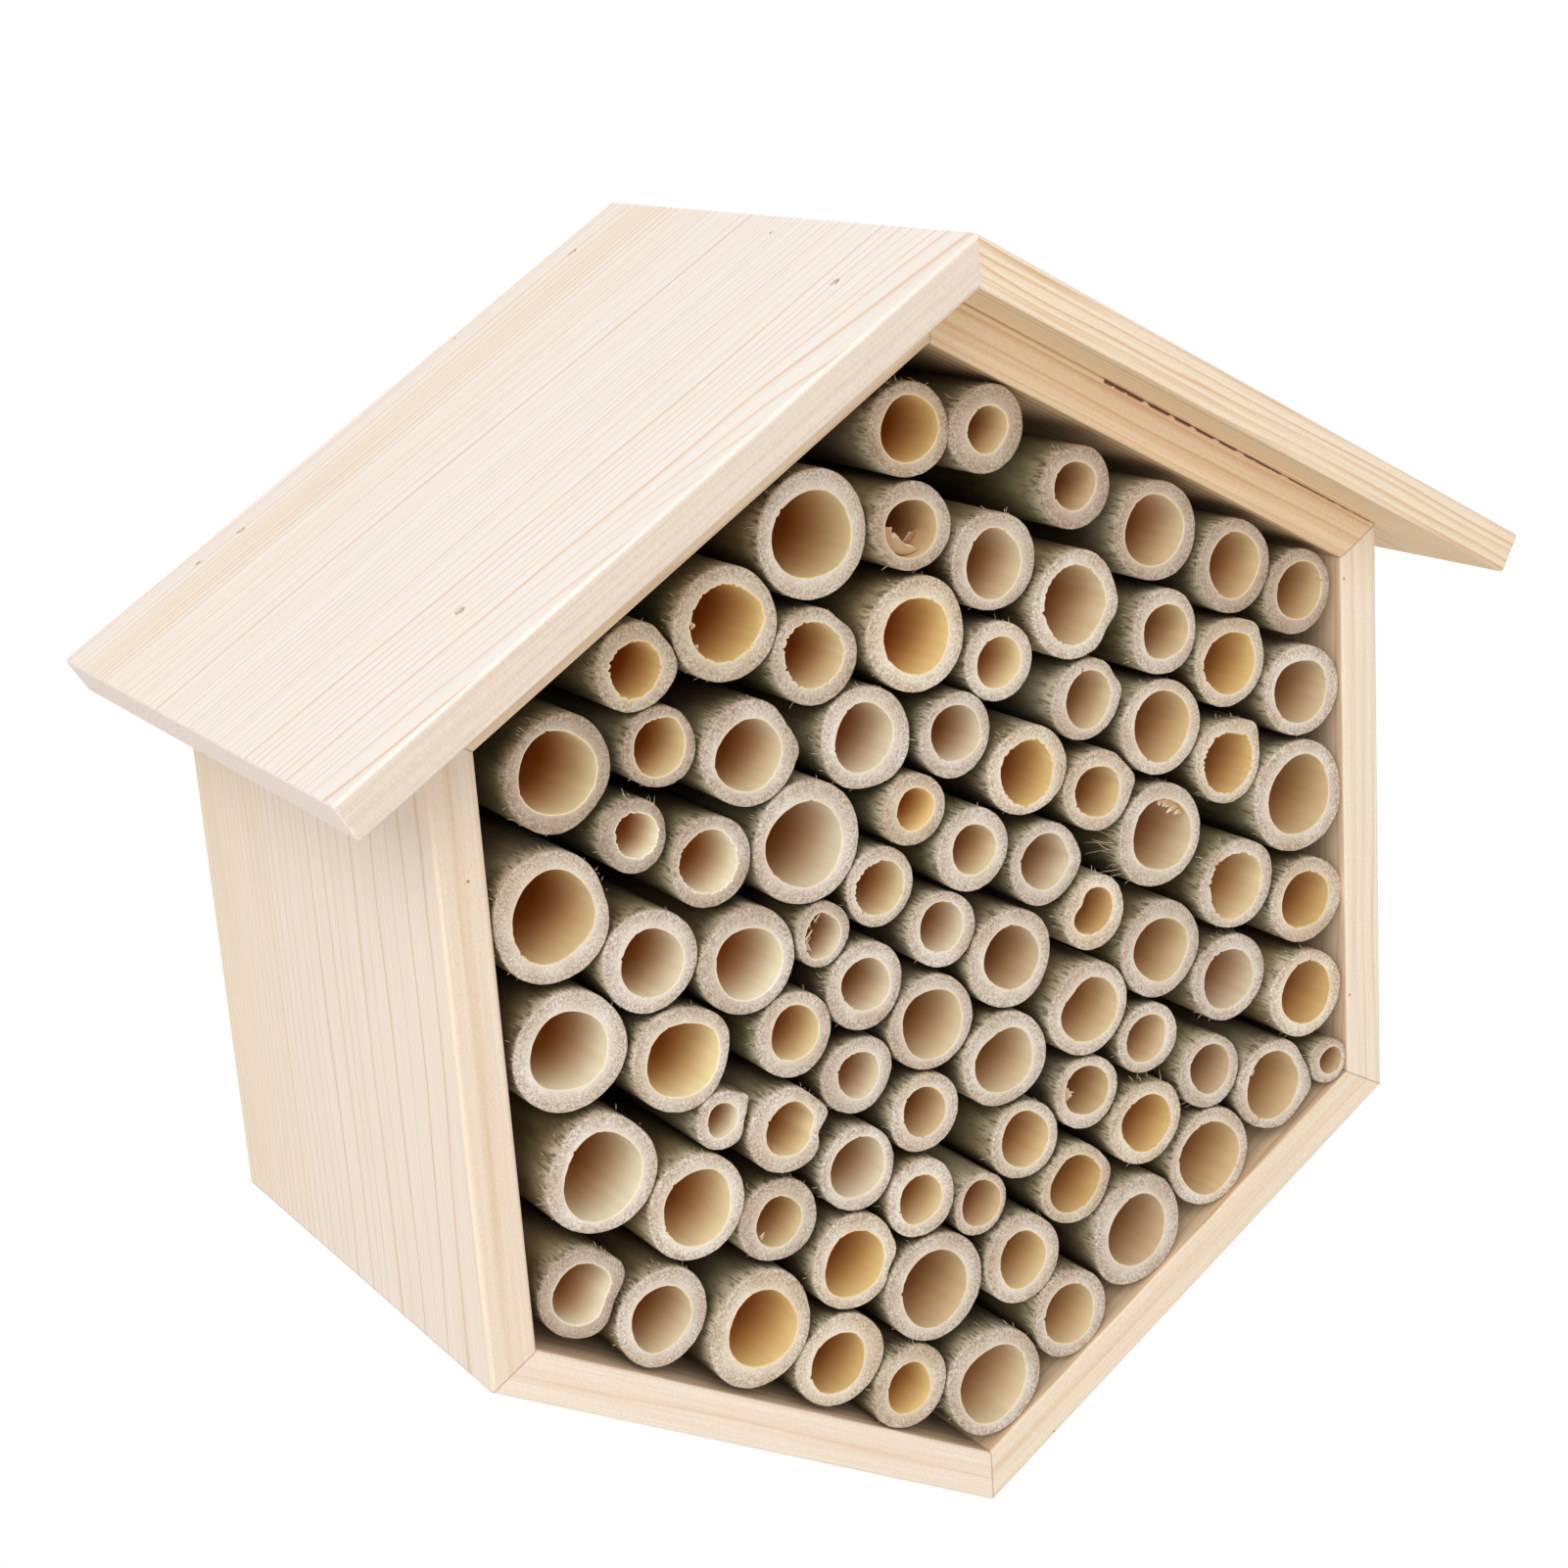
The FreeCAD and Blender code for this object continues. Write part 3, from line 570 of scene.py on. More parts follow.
# Canes: the sawn rims, how uneven the culms are and, by a cane's place across and up, which of them have what
caneLook = {
    "around": 96, "rim": 0.3, "rimDeep": 1.2, "boreRim": 0.12, "grow": 0.25, "offCentre": 0.5, "sawTilt": 1.2,
    "swell": (0.03, 0.016, 0.011), "boreSwell": (0.042, 0.026, 0.017), "uneven": (0.3, 1.0), "seed": 11,
    "skinTear": 0.06, "boreTear": 0.04, "tearReach": 0.6, "tearWaves": (11, 17, 23),
    "boreChip": 0.3, "chipReach": 0.25, "soundLip": 1.4, "raggedLip": 0.2,
    # the bores' trend across paints light, brighter towards the left; brightBy and dimBy paint listed bores
    # lighter and darker
    "warmth": (0.2, 0.6), "dusk": 0.35, "boreLightTrend": 0.0018, "brightBy": 0.13, "dimBy": 0.15,
    "placeWithin": 3.0, "dentWithin": 3.5,
    # rows of the grid: along the skin to the cut, across the cut, down the bore, and round by the back
    "skinRows": (0.7, 0.45, 0.25, 0.12, 0.06, 0.03), "rimRows": 6, "cutRows": np.linspace(0.88, 0.12, 6),
    "boreRimRows": 4, "boreRows": (0.02, 0.05, 0.1, 0.18, 0.3, 0.45, 0.65, 0.85),
    "backRows": (0.33, 0.66), "lastSkinRow": 0.85,
    # canes whose bores are golden, and canes whose bores are pale, by place
    "golden": [
        (-39, 58), (58, 16), (-28, -69), (27, -4), (-55, 55), (-5, 83), (75, -13), (-24, -52), (-43, -58),
        (59, 34), (21, -52), (-5, 51), (-8, 22), (-15, -78), (36, -45), (74, -30), (15, 24),
    ],
    "pale": [
        (-26, 6), (18, 7), (-40, 5), (-15, 36), (-57, 9), (1, 33), (-72, -2), (-45, 22), (-74, -42),
        (-28, 21), (-19, -5), (-21, -20), (56, -23), (-47, -20), (-3, 1), (-23, -36), (-69, -23), (-58, 29),
    ],
    # canes whose bores are brighter or dimmer than the rest: partly their own tone, partly painted light
    # and shade
    "bright": [(-58, 29), (11, 43), (-5, 51), (-8, 22), (-40, 5), (-45, 22), (-53, -8), (58, -6), (59, 34)],
    "dim": [
        (79, -45), (-60, -50), (27, 69), (2, -50), (-9, -30), (-38, -40), (-5, 68), (27, -4), (51, -39),
        (34, -64), (-9, -62), (-72, 20), (-28, -69), (21, -52), (10, -7), (24, -36),
    ],
    # canes whose ends are darker: painted shade of the roof on those under it, weathering on the rest
    "duskyAndShaded": [
        (27, 69), (-5, 68), (-69, 41), (43, 59), (74, 43), (-5, 83), (-74, -42), (10, 81), (60, 50),
        (-58, 29), (-52, 42),
    ],
    # canes whose bores have a ragged lip
    "ragged": [
        (-55, 55), (-39, 59), (26, 50), (-45, 22), (-15, 11), (15, 24), (-58, 29), (58, 16), (-24, 51),
        (58, -6),
    ],
    # bud scars, flats and corners, by the cane's place: x, z, angle from +X, depth as a share of the radius,
    # half-width in radians, and how much of it the bore shares; a corner has a negative depth
    "dents": [
        (-55, 55, 35, 0.08, 0.35, 0.3), (-55, 55, -15, -0.05, 0.3, 0.0), (-24, 50.5, 45, 0.06, 0.25, 0.2),
        (-5, 50.5, 5, 0.05, 0.5, 0.2), (-5, 50.5, 115, 0.06, 0.6, 0.3), (26, 49.5, -38, 0.11, 0.3, 0.1),
        (26, 49.5, 20, 0.04, 0.4, 0.3), (59.5, 50, 180, 0.07, 0.6, 0.3), (59.5, 50, 90, -0.04, 0.5, 0.5),
        (-69, 41, -45, 0.08, 0.6, 0.4), (-69, 41, 90, -0.04, 0.6, 0.3), (-52, 42, 60, -0.03, 0.35, 3.0),
        (-52, 42, 270, 0.06, 0.7, 0.6), (-37, 38, -8, -0.05, 0.22, 0.0), (-37, 38, 28, 0.06, 0.3, 0.3),
        (-15.5, 35.5, 270, 0.05, 0.5, 0.4), (28, 33, 3, -0.06, 0.2, 0.0), (28, 33, 30, 0.05, 0.25, 0.2),
        (44.5, 41.5, 180, 0.08, 0.5, 0.4), (58.5, 33.5, 42, -0.07, 0.25, 0.6),
        (58.5, 33.5, 85, 0.05, 0.4, 0.4), (-72.5, 19.5, 15, 0.06, 0.5, 0.4),
        (-72.5, 19.5, 90, -0.04, 0.5, 0.5), (-58, 29.5, 0, 0.07, 0.6, 0.2),
        (-58, 29.5, 150, -0.03, 0.6, 2.0), (15, 24, 0, -0.05, 0.6, 0.2), (43.5, 25.5, 0, -0.04, 0.7, 0.1),
        (18, 7, -5, -0.06, 0.3, 1.5), (29.5, 17.5, 3, -0.09, 0.22, 0.2), (29.5, 17.5, 38, 0.05, 0.25, 0.1),
        (57.5, 16.5, 40, -0.11, 0.28, 0.4), (57.5, 16.5, 85, 0.04, 0.4, 0.4),
        (-26, 5.5, 185, 0.05, 0.5, -1.5), (-26, 5.5, 235, -0.02, 0.4, 8.0), (-26, 5.5, 90, -0.08, 0.5, 1.5),
        (-26, 5.5, 270, -0.06, 0.5, 1.0), (27, -3.5, 140, 0.2, 0.55, 0.9), (27, -3.5, 50, -0.04, 0.4, 0.8),
        (58, -6, 30, -0.05, 0.4, 0.6), (58, -6, 130, 0.05, 0.5, 0.3), (-53.5, -8, 22, -0.09, 0.5, 0.7),
        (-53.5, -8, 100, 0.05, 0.6, 0.5), (74.5, -13, 15, -0.03, 0.4, 0.3),
        (74.5, -13, 120, 0.05, 0.5, 0.2), (41.5, -14, 0, -0.07, 0.7, 0.1), (-69, -23, 155, 0.12, 0.75, 0.8),
        (-69, -23, 45, 0.06, 0.5, 0.5), (-46.5, -20.5, 33, -0.16, 0.22, 0.0),
        (-46.5, -20.5, -18, 0.2, 0.5, 0.1), (-46.5, -20.5, 120, -0.02, 0.8, 2.5),
        (-35.5, -25, -20, 0.18, 0.28, 0.35), (-35.5, -25, 10, -0.07, 0.2, 0.5),
        (-35.5, -25, 45, 0.08, 0.35, 0.3), (-21, -20, 95, 0.06, 0.5, 0.6), (7.5, -25, 125, 0.06, 0.4, 0.3),
        (25, -20.5, 135, 0.08, 0.6, 0.9), (25, -20.5, 45, -0.04, 0.5, 0.4),
        (-74, -41.5, 15, -0.08, 0.3, 0.4), (-74, -41.5, -30, 0.12, 0.35, 0.5),
        (-74, -41.5, -75, -0.07, 0.4, 0.2), (-74, -41.5, 50, 0.05, 0.3, 0.2),
        (24.5, -35.5, 0, -0.06, 0.6, 0.3), (24.5, -35.5, 95, 0.05, 0.5, 0.3),
        (73.5, -30.5, 10, -0.02, 0.4, 0.0), (73.5, -30.5, 130, 0.06, 0.5, 0.2),
        (-60, -50, 90, 0.07, 0.6, 0.4), (-24.5, -52, -28, 0.07, 0.22, 0.1),
        (-24.5, -52, 0, -0.05, 0.2, 0.0), (2, -49.5, 220, -0.1, 0.6, 0.6), (21, -51.5, 135, 0.12, 0.6, 0.8),
        (21, -51.5, 5, -0.1, 0.35, 0.5), (36.5, -44.5, 45, -0.06, 0.3, 0.2),
        (36.5, -44.5, 120, 0.05, 0.5, 0.5), (66, -45.5, 28, 0.13, 0.45, 0.6),
        (66, -45.5, -20, -0.1, 0.28, 0.0), (66, -45.5, -80, -0.05, 0.4, 0.0),
        (33.5, -64.5, 180, 0.14, 0.7, 0.3), (33.5, -64.5, 100, 0.07, 0.5, 0.2),
        (-28.5, -68.5, 130, 0.07, 0.5, 0.3), (-28.5, -68.5, 0, -0.07, 0.6, 0.2),
        (-15.5, -78, 170, 0.08, 0.5, 0.3), (-38, -40, 90, 0.06, 0.6, 0.3), (9.5, -62, 45, 0.05, 0.4, 0.2),
        (9.5, -62, -30, -0.05, 0.6, 0.1), (-43.5, -58, 60, -0.05, 0.6, 0.6),
        (-43.5, -58, 150, 0.06, 0.6, 0.6), (26, 49.5, 90, -0.05, 0.5, 0.3),
    ],
}
skinSlot, cutSlot, boreSlot = 0, 1, 2


def findTubes(node):
    # places and sizes of a node's tubes: a circle is fitted to each bore
    tubes = []
    for tube in islands(node):
        across = tube[:, [0, 2]]
        reach = np.linalg.norm(across - (across.min(axis=0) + across.max(axis=0)) / 2, axis=1)
        inner = across[reach < (reach.min() + reach.max()) / 2]
        sides = np.c_[2 * inner, np.ones(len(inner))]
        fit = np.linalg.lstsq(sides, (inner ** 2).sum(axis=1), rcond=None)[0]
        centre = fit[:2]
        bore = math.sqrt(fit[2] + centre @ centre)
        outer = np.linalg.norm(across - centre, axis=1).max()
        tubes.append((centre[0], centre[1], outer, bore, tube[:, 1].min(), tube[:, 1].max()))
    return np.array(sorted(tubes))


def caneProfile(look):
    # closed outline of a cane's wall: share from bore to skin, shift in mm, share from front to back, how far
    # behind that in mm, and its surface
    rim, boreRim = look["rim"], look["boreRim"]
    rows = []
    for depth in look["skinRows"]:
        rows.append((1, 0, depth, 0, skinSlot))
    for turn in np.linspace(0, math.pi / 2, look["rimRows"]):
        behind = look["rimDeep"] * rim * (1 - math.sin(turn))
        rows.append((1, -rim * (1 - math.cos(turn)), 0, behind, cutSlot))
    for share in look["cutRows"]:
        rows.append((share, -rim * share + boreRim * (1 - share), 0, 0, cutSlot))
    for turn in np.linspace(0, math.pi / 2, look["boreRimRows"]):
        rows.append((0, boreRim * (1 - math.sin(turn)), 0, boreRim * (1 - math.cos(turn)), boreSlot))
    for depth in look["boreRows"]:
        rows.append((0, 0, depth, 0, boreSlot))
    rows.append((0, boreRim, 1, 0, cutSlot))
    for share in look["backRows"]:
        rows.append((share, 0, 1, 0, cutSlot))
    rows.append((1, -rim, 1, 0, cutSlot))
    rows.append((1, 0, 1, -rim, skinSlot))
    rows.append((1, 0, look["lastSkinRow"], 0, skinSlot))
    return np.array(rows)


def putGrid(name, points, slotOfRow, materials, attributes, ring=True):
    # tubes of rows by columns as one mesh of quads; columns close up, and so do rows unless ring is off
    tubes, rows, columns, _ = points.shape
    ids = np.arange(tubes * rows * columns).reshape(tubes, rows, columns)
    nextRow, nextColumn = np.roll(ids, -1, axis=1), np.roll(ids, -1, axis=2)
    both = np.roll(nextRow, -1, axis=2)
    quads = np.stack([ids, nextColumn, both, nextRow], axis=-1)
    slots = np.tile(np.repeat(slotOfRow, columns), tubes)
    if not ring:
        # the ends close with quads that join each column to the one facing it
        half = np.arange(columns // 2 - 1)
        facing = np.stack([half, columns - 1 - half, columns - 2 - half, half + 1], axis=-1)
        lids = np.concatenate([ids[:, 0][:, facing], ids[:, -1][:, facing[:, ::-1]]], axis=1)
        quads = np.concatenate([quads[:, :-1].reshape(-1, 4), lids.reshape(-1, 4)])
        slots = np.zeros(len(quads))
    quads = quads.reshape(-1, 4)
    mesh = bpy.data.meshes.new(name)
    mesh.vertices.add(ids.size)
    mesh.vertices.foreach_set("co", (points * mm).ravel())
    mesh.loops.add(quads.size)
    mesh.loops.foreach_set("vertex_index", quads.ravel())
    mesh.polygons.add(len(quads))
    mesh.polygons.foreach_set("loop_start", np.arange(0, quads.size, 4))
    mesh.polygons.foreach_set("material_index", slots.astype(np.int32))
    mesh.polygons.foreach_set("use_smooth", np.ones(len(quads), dtype=bool))
    for key, values in attributes.items():
        attribute = mesh.attributes.new(key, "FLOAT", "POINT")
        attribute.data.foreach_set("value", values.astype(np.float32).ravel())
    for material in materials:
        mesh.materials.append(material)
    mesh.update()
    mesh.validate()
    piece = bpy.data.objects.new(name, mesh)
    bpy.context.scene.collection.objects.link(piece)
    return piece


def makeCanes(name, tubes, look, materials, draws):
    # each ring: radius of the skin or bore times two-, three- and four-lobed swells, less dents, with short
    # saw tears near the cut; rings follow the wall's outline, and the cut leans a little
    count = len(tubes)
    profile = caneProfile(look)
    share, shift, depth, inset = (profile[:, i][None, :, None] for i in range(4))
    angle = np.linspace(0, 2 * math.pi, look["around"], endpoint=False)[None, None, :]
    centreX, centreZ, outer, bore, front, back = (tubes[:, i][:, None, None] for i in range(6))

    def mark(places, value, values):
        # the given value at the canes listed by place, and the values handed in at the rest
        for caneX, caneZ in places:
            here = np.hypot(centreX - caneX, centreZ - caneZ) < look["placeWithin"]
            values = np.where(here, value, values)
        return values

    turns = draws.uniform(0, 2 * math.pi, (10, count, 1, 1))
    sizes = draws.uniform(*look["uneven"], (7, count, 1, 1))
    offTurn, tearTurn, tearStart, sawTurn = turns[6:]
    waves = [np.cos((2 + i) * (angle - turns[i])) for i in range(3)]
    swell = sum(look["swell"][i] * sizes[i] * (waves[i] - 1) for i in range(3))
    skin = outer * (1 + swell) + look["grow"]
    boreWaves = [np.cos((2 + i) * (angle - turns[3 + i])) for i in range(3)]
    hollow = bore * (1 + sum(look["boreSwell"][i] * sizes[3 + i] * boreWaves[i] for i in range(3)))
    hollow = hollow + look["offCentre"] * sizes[6] * np.cos(angle - offTurn)
    # a dent: a bell-shaped hollow in the skin at its angle, carried into the bore by its share
    for dentX, dentZ, dentTurn, dentDepth, dentWidth, dentBore in look["dents"]:
        here = np.hypot(centreX - dentX, centreZ - dentZ) < look["dentWithin"]
        away = np.angle(np.exp(1j * (angle - math.radians(dentTurn))))
        bell = here * dentDepth * np.exp(-(away / dentWidth) ** 2)
        skin = skin - bell * outer
        hollow = hollow - dentBore * bell * outer
    # saw tears: short waves that fade away from the cut, with a few sharp chips out of the bore's lip
    length = back - front
    nearCut = np.exp(-(depth * length + inset) / look["tearReach"])
    tears = [np.cos(wave * (angle - tearTurn) + tearStart * wave) for wave in look["tearWaves"]]
    tears = sum(tears) / len(tears)
    sound = mark(look["ragged"], look["raggedLip"], look["soundLip"])
    chips = np.maximum(draws.normal(0, 1, (count, 1, look["around"])) - sound, 0)
    radius = share * skin + (1 - share) * hollow + shift
    radius = radius + nearCut * tears * (look["skinTear"] * share + look["boreTear"] * (1 - share))
    radius = radius + nearCut * chips * look["boreChip"] * np.maximum(1 - share / look["chipReach"], 0)
    tilt = radius * np.cos(angle - sawTurn) * math.tan(math.radians(look["sawTilt"])) * sizes[3]
    y = front + depth * length + inset + tilt * (1 - depth)
    x = centreX + radius * np.cos(angle)
    z = centreZ + radius * np.sin(angle)
    points = np.stack(np.broadcast_arrays(x, y, z), axis=-1)
    warmth = draws.uniform(*look["warmth"], (count, 1, 1))
    green = draws.uniform(0, 1, (count, 1, 1))
    dusk = look["dusk"] * draws.uniform(0, 1, (count, 1, 1)) ** 2
    warmth = mark(look["golden"], 1.0, mark(look["pale"], 0.0, warmth))
    # painted shade: the listed ends darker, most of them in the roof's shadow
    dusk = mark(look["duskyAndShaded"], 1.0, dusk)
    # painted light and shade on the bores: the listed ones brighter or dimmer, partly their own tone, and all
    # of them brighter towards the left
    boreTone = mark(look["bright"], look["brightBy"], mark(look["dim"], -look["dimBy"], 0.0))
    boreTone = boreTone + 1 - look["boreLightTrend"] * centreX
    attributes = {
        "warmth": warmth, "green": green, "dusk": dusk, "wall": share, "fromCut": depth * length + inset,
        "boreTone": boreTone, "boreDepth": depth * length / bore,
    }
    attributes = {key: np.broadcast_to(values, y.shape) for key, values in attributes.items()}
    slotOfRow = np.minimum(profile[:, 4], np.roll(profile[:, 4], -1))
    return putGrid(name, points, slotOfRow, materials, attributes)


# Bamboo. Patterns are given by their sizes across, along and up; a Span runs from one value to another, with
# how much shows at each
skinLook = {
    "culms": [(0.0, "#C5B38D"), (0.35, "#B0AA80"), (0.65, "#BAB196"), (1.0, "#CEB788")],
    "pale": "#E2D8BE", "paleSpan": (0.3, 5.0, 0.9, 0.0),
    "scratches": (0.43, 2.6, 0.43), "scratch": [(0.4, "#675E43"), (0.5, "#FFFFFF")],
    "scratchSpan": (1.0, 7.0, 0.7, 0.1),
    "stains": (4.5, 16.5, 4.5), "stain": [(0.36, "#9C8666"), (0.6, "#FFFFFF")], "stainBy": 0.6,
    # painted shade: the skin darker deeper behind the cut, where shade falls between the canes
    "deepShade": "#D0CABA", "deepShadeSpan": (2.0, 22.0),
    # painted shade in the gaps where canes crowd, by ambient occlusion
    "gapShadeReach": 14, "gapShade": [(0.08, "#6C675E"), (0.38, "#FFFFFF")],
    "fray": -1.6, "dust": "#DACEB6", "dustSpan": (-0.4, 0.0, 0.8, 0.0),
    "rough": 0.6, "relief": 0.2, "reliefBy": 0.6,
}


def skinMaterial(look):
    # bamboo skin: dull tan and olive, scuffed pale with dark scratches near the cut, painted shade further in
    material, tree, shader = newMaterial("bamboo skin")
    place = addNode(tree, "TexCoord").outputs["Object"]
    green = addNode(tree, "Attribute", {"attribute_name": "green"})
    cut = addNode(tree, "Attribute", {"attribute_name": "fromCut"})
    scratches = stretchedNoise(tree, place, look["scratches"], detail=4.0)
    stains = stretchedNoise(tree, place, look["stains"], detail=3.0)
    tone = addNode(tree, "ValToRGB", {"stops": look["culms"]}, Fac=green)
    tone = overlay(tree, tone, look["pale"], cut, look["paleSpan"])
    scuffed = addNode(tree, "MapRange", {"span": look["scratchSpan"]}, Value=cut)
    tone = shaded(tree, tone, scratches, look["scratch"], scuffed)
    tone = shaded(tree, tone, stains, look["stain"], look["stainBy"])
    # painted shade: darker deeper behind the cut
    tone = overlay(tree, tone, look["deepShade"], cut, look["deepShadeSpan"], darkened)
    # painted shade: ambient occlusion darkens the skin in the gaps where canes crowd
    crowd = addNode(tree, "AmbientOcclusion", {"samples": 8, "Distance": look["gapShadeReach"] * mm})
    tone = shaded(tree, tone, crowd.outputs["AO"], look["gapShade"])
    frayed = addNode(tree, "Math MULTIPLY_ADD", {1: look["fray"]}, i0=scratches, i2=cut)
    tone = overlay(tree, tone, look["dust"], frayed, look["dustSpan"])
    finishMaterial(tree, shader, tone, look["rough"], scratches, look["relief"], look["reliefBy"])
    return material


cutLook = {
    "ground": [(0.0, "#F0EAE4"), (0.5, "#F0E9E0"), (1.0, "#F2EADB")],
    "paler": [(0.0, "#F0EEEC"), (1.0, "#FFFFFF")],
    "dusk": "#E0D9D2", "mottle": 6, "stain": [(0.35, "#E0D2C0"), (0.62, "#FFFFFF")], "stainBy": 0.6,
    "fuzz": (0.38, 1.7, 0.38), "fuzzShade": [(0.34, "#AE9F8F"), (0.58, "#FFFFFF")],
    "bundles": (0.4, 3.3, 0.4), "bundleShade": [(0.15, "#FFFFFF"), (0.6, "#CDBFB0")],
    "coarseSpan": (0.1, 0.8, 0.2, 0.65), "lip": "#E9DAC0", "lipSpan": (0.0, 0.16, 0.5, 0.0),
    "rough": 0.85, "relief": 0.2, "reliefBy": 0.6, "bundleRelief": -0.5,
}


def cutMaterial(look):
    # sawn bamboo: matt grey-tan ground, pale fibre bundles that crowd towards the skin, creamier at the bore
    material, tree, shader = newMaterial("sawn bamboo end")
    place = addNode(tree, "TexCoord").outputs["Object"]
    names = ("warmth", "green", "wall", "dusk")
    warmth, green, wall, dusk = (addNode(tree, "Attribute", {"attribute_name": name}) for name in names)
    flat = addNode(tree, "Mapping", {"Scale": perSize(*look["bundles"])}, Vector=place)
    bundles = addNode(tree, "TexVoronoi", {"Scale": 1.0}, Vector=flat)
    fuzz = stretchedNoise(tree, place, look["fuzz"], detail=2.0)
    mottle = addNode(tree, "TexNoise", {"Scale": 1 / (look["mottle"] * mm), "Detail": 3.0}, Vector=place)
    tone = addNode(tree, "ValToRGB", {"stops": look["ground"]}, Fac=warmth)
    tone = shaded(tree, tone, green, look["paler"])
    # ends darker at random, and with the roof's painted shade on the listed ones
    tone = addNode(tree, "Mix", {**darkened, 7: linear(look["dusk"])}, i0=dusk, i6=tone)
    tone = shaded(tree, tone, mottle, look["stain"], look["stainBy"])
    coarse = addNode(tree, "MapRange", {"span": look["coarseSpan"]}, Value=wall)
    tone = shaded(tree, tone, fuzz, look["fuzzShade"], coarse)
    tone = shaded(tree, tone, bundles, look["bundleShade"], coarse)
    tone = overlay(tree, tone, look["lip"], wall, look["lipSpan"])
    height = addNode(tree, "Math MULTIPLY_ADD", {1: look["bundleRelief"]}, i0=bundles, i2=fuzz)
    height = addNode(tree, "Math MULTIPLY", i0=height, i1=coarse)
    finishMaterial(tree, shader, tone, look["rough"], height, look["relief"], look["reliefBy"])
    return material


boreLook = {
    "pith": [(0.0, "#EEE2C8"), (0.5, "#EEDBAF"), (1.0, "#EED296")],
    "streaks": (1.4, 55, 1.4), "streak": [(0.3, "#DCCDB6"), (0.7, "#FFFFFF")], "streakBy": 0.25,
    # painted shade: darker and browner deeper into the bore
    "boreShade": "#DA9A5A", "boreShadeSpan": (0.3, 2.8), "dimmingPowers": {"Red": 0.75, "Green": 1.1, "Blue": 1.3},
    "rough": 0.5, "relief": 0.1, "reliefBy": 0.12,
}


def boreMaterial(look):
    # inside of a culm: smooth cream to golden pith skin with faint long streaks, with painted shade that
    # darkens and browns it further in
    material, tree, shader = newMaterial("bamboo bore")
    place = addNode(tree, "TexCoord").outputs["Object"]
    names = ("warmth", "boreDepth", "boreTone")
    warmth, reach, toneAndLight = (addNode(tree, "Attribute", {"attribute_name": name}) for name in names)
    streaks = stretchedNoise(tree, place, look["streaks"], detail=3.0)
    tone = addNode(tree, "ValToRGB", {"stops": look["pith"]}, Fac=warmth)
    tone = shaded(tree, tone, streaks, look["streak"], look["streakBy"])
    # painted shade, deeper into the bore
    tone = overlay(tree, tone, look["boreShade"], reach, look["boreShadeSpan"], darkened)
    # the bores' tone carries painted light and shade
    # a dimmer bore is browner: its tone to a low power for red and to a high one for blue
    parts = {}
    for part, power in look["dimmingPowers"].items():
        parts[part] = addNode(tree, "Math POWER", {1: power}, i0=toneAndLight)
    tint = addNode(tree, "CombineColor", **parts)
    tone = addNode(tree, "Mix", {**darkened, 0: 1.0}, i6=tone, i7=tint)
    finishMaterial(tree, shader, tone, look["rough"], streaks, look["relief"], look["reliefBy"])
    return material


bamboo = [skinMaterial(skinLook), cutMaterial(cutLook), boreMaterial(boreLook)]
caneDraws = np.random.default_rng(caneLook["seed"])
caneNodes = sorted(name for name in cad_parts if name.startswith("canes_"))
tubesOf = {name: findTubes(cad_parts[name]) for name in caneNodes}
allTubes = np.concatenate(list(tubesOf.values()))
for node in caneNodes:
    piece = makeCanes("bamboo_" + node, tubesOf[node], caneLook, bamboo, caneDraws)
    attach(piece, "cane_stack")
    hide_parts(node)
print("canes made:", len(allTubes))

# Loose fibres that the saw left: how thick, how many rim hairs a cane has, and longer tufts by the cane's
# place, as x, z, angle, half-spread, how many, length and lift; tufts in the bore lean inwards. Sunk is how
# far a fibre is rooted in the wall, Depth how far behind the cut it starts and Lift how much it stands out
fibreLook = {
    "radius": 0.06, "boreRadius": 0.11, "thickest": 0.35, "thinnest": 0.02, "rows": 6, "sides": 4, "seed": 5,
    "stray": 0.25, "bend": 0.2, "leastBack": 0.05,
    "hairs": 14, "hairLength": (0.4, 1.3), "hairSunk": 0.15, "hairDepth": (0.9, 2.5), "hairLift": (0.3, 0.8),
    "tuftSunk": 0.1, "tuftDepth": (0.8, 2.5), "tuftShare": (0.5, 1),
    "boreSunk": 0.2, "boreDepth": (0.3, 1.2), "boreShare": (0.6, 1), "boreLift": -0.9,
    "tufts": [
        (42, 7, 190, 30, 12, 6.0, 0.5), (-15.5, 11.5, 10, 40, 8, 1.8, 0.7), (-5, 84, 90, 35, 8, 1.6, 0.8),
        (-47.5, -19.5, 0, 45, 10, 2.0, 0.9), (36, -44.5, 60, 40, 7, 2.6, 0.8),
        (51, -39, 250, 40, 7, 2.6, 0.8), (-59, 30, 60, 50, 8, 1.6, 0.7), (51, -56, 100, 40, 6, 2.2, 0.8),
    ],
    "boreTufts": [(-26, 5.5, 190, 6, 2, 4.0), (-26, 5.5, 215, 12, 2, 2.6), (-26, 5.5, 105, 28, 5, 2.6)],
}
askew = np.array([0.31, 0.17, 0.93])           # a direction that no fibre runs along


